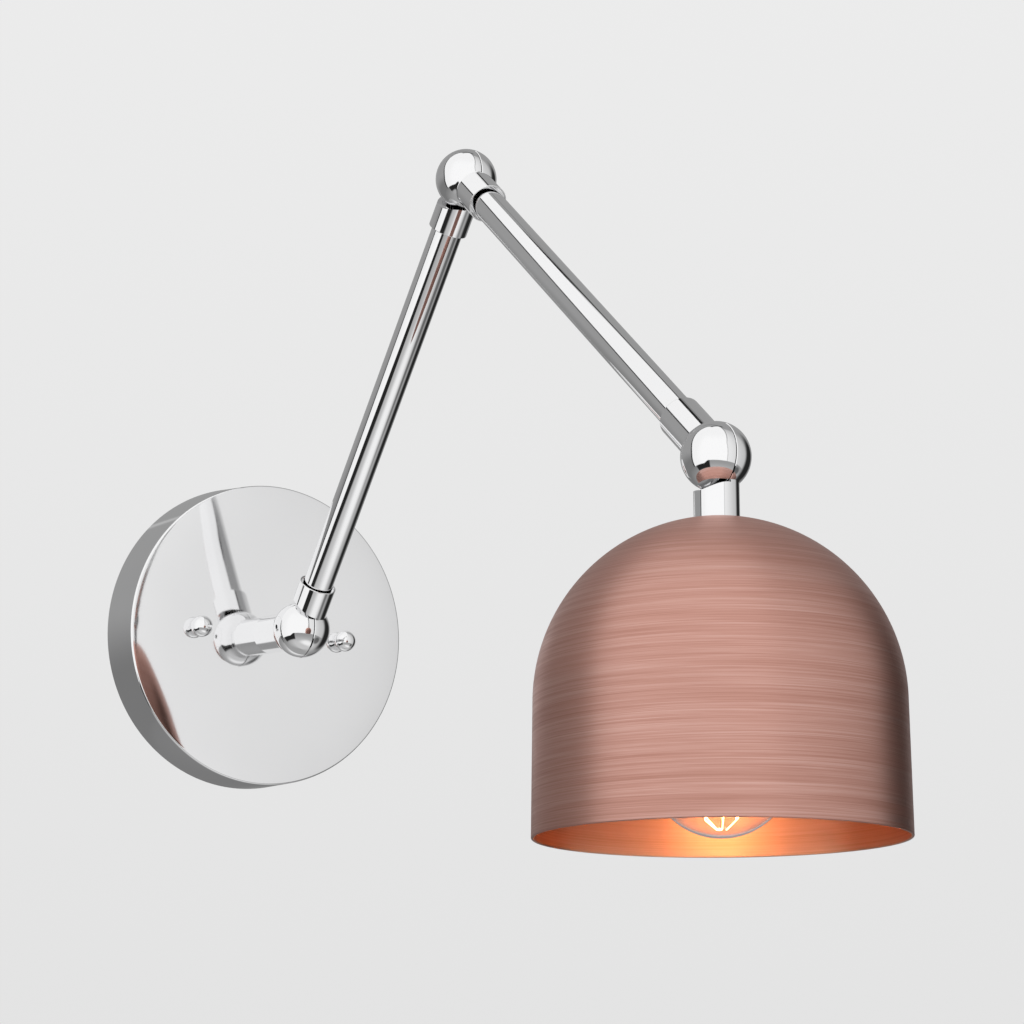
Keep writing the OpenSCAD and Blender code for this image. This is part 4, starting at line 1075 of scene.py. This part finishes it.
def make_bulb_base():
    nickel, bore = FINISH["bulb_base_metal"], NECK_R + HAIR
    where = BELOW_SEAT @ up(BASE_TOP)
    side = BASE_R - 0.5
    outline = soften([(9, 0, 0.1), (side, 0, 1.2), (side, BASE_L, 0.1), (bore, BASE_L, 0.05), (bore, 0.4),
                      (9, 0.4)], closed=True)
    body = lathe("base_shell", outline, where, nickel, 96)
    coil = thread("base_thread", BASE_R, LAMP_PITCH, 2.6, LAMP_PITCH * 4.4, nickel, where, rise=1.0, sides=16,
                  points=64)
    inside = lathe("inside", [(0, 0.4), (bore, 0.4), (bore, BASE_L + 1), (0, BASE_L + 1)], where, nickel, 96)
    cut_with(coil, inside)
    soft_shading(coil.data, 40)
    piece = joined([body, coil])
    hand_in(piece, "shade_head", "bulb_base_metal", "bulb_base")


def make_bulb_stem():
    """Glass mount of the filament: a flared foot, a drawn tube and a rod with a bead at its end."""
    foot = NECK_TOP + 1
    outline = soften([(0, foot), (NECK_R - GLASS - HAIR, foot, 0.3), (NECK_R - GLASS - HAIR, foot + 1, 0.3),
                      (5.2, foot + 1, 1.5), (2.6, CAGE_TOP - 4.5, 1.5), (ROD_R, CAGE_TOP - 3.2, 0.6),
                      (ROD_R, CAGE_BOTTOM - 0.5, 0.4), (0, CAGE_BOTTOM - 0.5)])
    turned("glass_mount", outline, BELOW_SEAT, "shade_head", "clear_glass", "bulb_stem", 64)


def make_filament():
    """One fine wire that runs down and up the cage of six strands, through its corners."""
    way = [(CAGE_TOP_R, CAGE_TOP), (CAGE_CORNER_R, CAGE_CORNER), (CAGE_BOTTOM_R, CAGE_BOTTOM)]
    points = []
    for i in range(STRANDS):
        turn = 2 * pi * i / STRANDS
        points += [(r * cos(turn) * MM, r * sin(turn) * MM, z * MM) for r, z in (way[::-1] if i % 2 else way)]
    mesh = bpy.data.meshes.new("path")
    mesh.from_pydata(points, [(i, (i + 1) % len(points)) for i in range(len(points))], [])
    path = new_object("path", mesh, [])
    g = Builder("filament_strands", Wire=0.14 * MM)
    line = g.use("GeometryNodeMeshToCurve", Mesh=g.source(path))
    section = g.use("GeometryNodeCurvePrimitiveCircle", Resolution=8, Radius=g.size["Wire"])
    wire = g.use("GeometryNodeCurveToMesh", Curve=line, Profile_Curve=section)
    piece = g.build(wire, FINISH["filament_wire"], BELOW_SEAT, path)
    hand_in(piece, "shade_head", "filament_wire", "filament")


# Floor, light and background

def studio_world():
    """A white tent in front, a grey wall behind, dark gaps between them, and pale grey for the camera."""
    world = bpy.data.worlds.new("studio")
    world.use_nodes = True
    bpy.context.scene.world = world
    world.node_tree.nodes.clear()
    g = Graph(world.node_tree)
    parts = g.node("ShaderNodeSeparateXYZ")
    g.link(g.node("ShaderNodeTexCoord").outputs["Generated"], parts.inputs[0])
    x, y, z = parts.outputs
    # Degrees round the lamp, 0 straight out from the wall and 90 to its right, and degrees above the level
    side = g.times(g.math("ARCTAN2", x, g.times(y, -1.0)), 180 / pi)
    rise = g.times(g.math("ARCSINE", z), 180 / pi)

    def spot(centre, spread, inner, outer):
        """1 inside an oval patch, 0 outside it, soft between two shares of its spread."""
        across = g.math("DIVIDE", g.minus(side, centre[0]), spread[0])
        along = g.math("DIVIDE", g.minus(rise, centre[1]), spread[1])
        squares = g.plus(g.times(across, across), g.times(along, along))
        return g.minus(1.0, g.step(g.math("SQRT", squares), inner, outer))

    def between(value, low, high, soft):
        """1 between two limits, with soft edges."""
        return g.times(g.step(value, low - soft, low + soft),
                      g.minus(1.0, g.step(value, high - soft, high + soft)))

    tent, bright, dark, wall_low, wall_high = 1.0, 1.06, 0.02, 0.20, 0.34
    wall = g.blend(g.step(rise, -12, 12), wall_low, wall_high)
    # The tent's left edge leans back as it rises, with a dark gap behind it
    upward = g.math("MAXIMUM", rise, 0.0)
    lean_back = g.times(g.times(upward, upward), 0.014)
    past_left = g.plus(side, g.plus(lean_back, 117.5))
    behind = g.blend(between(past_left, -5.0, 0.0, 1.0), wall, dark)
    # Its right edge is a seam that leans to the right overhead; a second, greyer sheet follows
    lean = g.times(g.math("MAXIMUM", g.minus(z, 0.6), 0.0), 0.45)
    past_seam = g.minus(g.minus(x, 0.035), lean)
    sheet = g.blend(g.step(side, 0, 75), 0.90, 0.58)
    sheet = g.blend(g.step(side, 66, 86), sheet, wall)
    seam_tone = g.blend(g.step(rise, 30, 55), 0.50, 0.20)
    sheet = g.blend(between(past_seam, 0.0, 0.035, 0.01), sheet, seam_tone)
    overhead = g.step(rise, 73, 77)
    in_front = g.math("MAXIMUM", g.minus(1.0, g.step(side, 88, 94)), overhead)
    in_tent = g.times(g.minus(1.0, g.step(past_seam, -0.01, 0.01)), in_front)
    # Its lower front is the brightest, where the main light shines through it
    front = g.times(g.step(side, -108, -80), g.minus(1.0, g.step(rise, 40, 74)))
    upper = g.blend(in_tent, sheet, g.blend(front, tent, bright))
    back_gap = g.times(between(rise, 70.5, 74.0, 0.6), g.step(side, 100, 120))
    upper = g.blend(back_gap, upper, dark)
    upper = g.blend(g.step(past_left, -1.0, 1.0), behind, upper)
    # Floor, brighter towards the front, and the dark gap under the tent at the left
    foot = g.plus(g.times(g.step(side, -80, -60), 8.0), -28.0)
    floor = g.blend(g.step(rise, -62, -22), 0.62, 0.34)
    aside = g.step(g.math("ABSOLUTE", side), 60, 130)
    floor = g.times(floor, g.blend(aside, 1.0, 0.6))
    floor = g.plus(floor, g.times(spot((15, -57), (55, 13), 0.3, 1.2), 0.36))
    below = g.minus(1.0, g.step(g.minus(rise, foot), -1.0, 1.0))
    gap = g.times(between(side, -112, -57, 2.0), between(rise, -44, 0, 3.0))
    floor = g.blend(gap, floor, dark)
    tone = g.blend(below, upper, floor)
    # Dark room past the tent's right end, and a dark foot in front of it
    tone = g.blend(spot((98, -3), (15, 29), 0.85, 1.75), tone, dark)
    tone = g.blend(g.times(spot((56, -35), (13, 10), 0.7, 1.5), 0.7), tone, dark)

    rays = g.node("ShaderNodeLightPath").outputs
    seen = g.math("MAXIMUM", rays["Is Camera Ray"], rays["Is Transmission Ray"])
    backdrop = g.blend(g.step(z, -0.35, 0.6), 0.74, 0.86)
    background = g.node("ShaderNodeBackground")
    g.link(g.blend(seen, tone, backdrop), background.inputs["Color"])
    g.link(background.outputs[0], g.node("ShaderNodeOutputWorld").inputs["Surface"])


def stage():
    """A wide pale floor well below the wall lamp, and one soft lamp that gives gentle shadows."""
    below, reach = -1.7, 9.0
    rim = [(reach * cos(2 * pi * k / 96), reach * sin(2 * pi * k / 96), below) for k in range(96)]
    mesh = bpy.data.meshes.new("floor")
    mesh.from_pydata(rim, [], [tuple(range(96))])
    f = Finish("pale_floor", (0.72, 0.72, 0.72), roughness=0.8)
    f.color(f.ramp(f.noise(f.coordinates(), 1.5), ((0.3, (0.715, 0.715, 0.715)), (0.7, (0.73, 0.73, 0.73)))))
    floor = new_object("floor", mesh, [f.material])
    floor.visible_glossy = False
    lamp = bpy.data.objects.new("soft_lamp", bpy.data.lights.new("soft_lamp", "AREA"))
    lamp.data.shape = "DISK"
    lamp.data.size = 1.4
    lamp.data.energy = 12.0
    at = Vector((-0.9, -1.5, 1.5))
    aim = Vector((0, -0.2, 0)) - at
    lamp.matrix_world = Matrix.Translation(at) @ aim.to_track_quat("-Z", "Y").to_matrix().to_4x4()
    lamp.visible_glossy = False
    lamp.visible_camera = False
    bpy.context.scene.collection.objects.link(lamp)


scene = bpy.context.scene
scene.view_settings.view_transform = "Standard"
camera_of_photo()
studio_world()
stage()
dress_cad_nodes()
make_halves()
make_caps()
make_tubes()
make_canopy()
make_cap_nuts()
make_shade()
make_globe()
make_strap()
make_studs()
make_nipples()
make_screws()
make_connectors()
make_holder()
make_bulb_base()
make_bulb_stem()
make_filament()
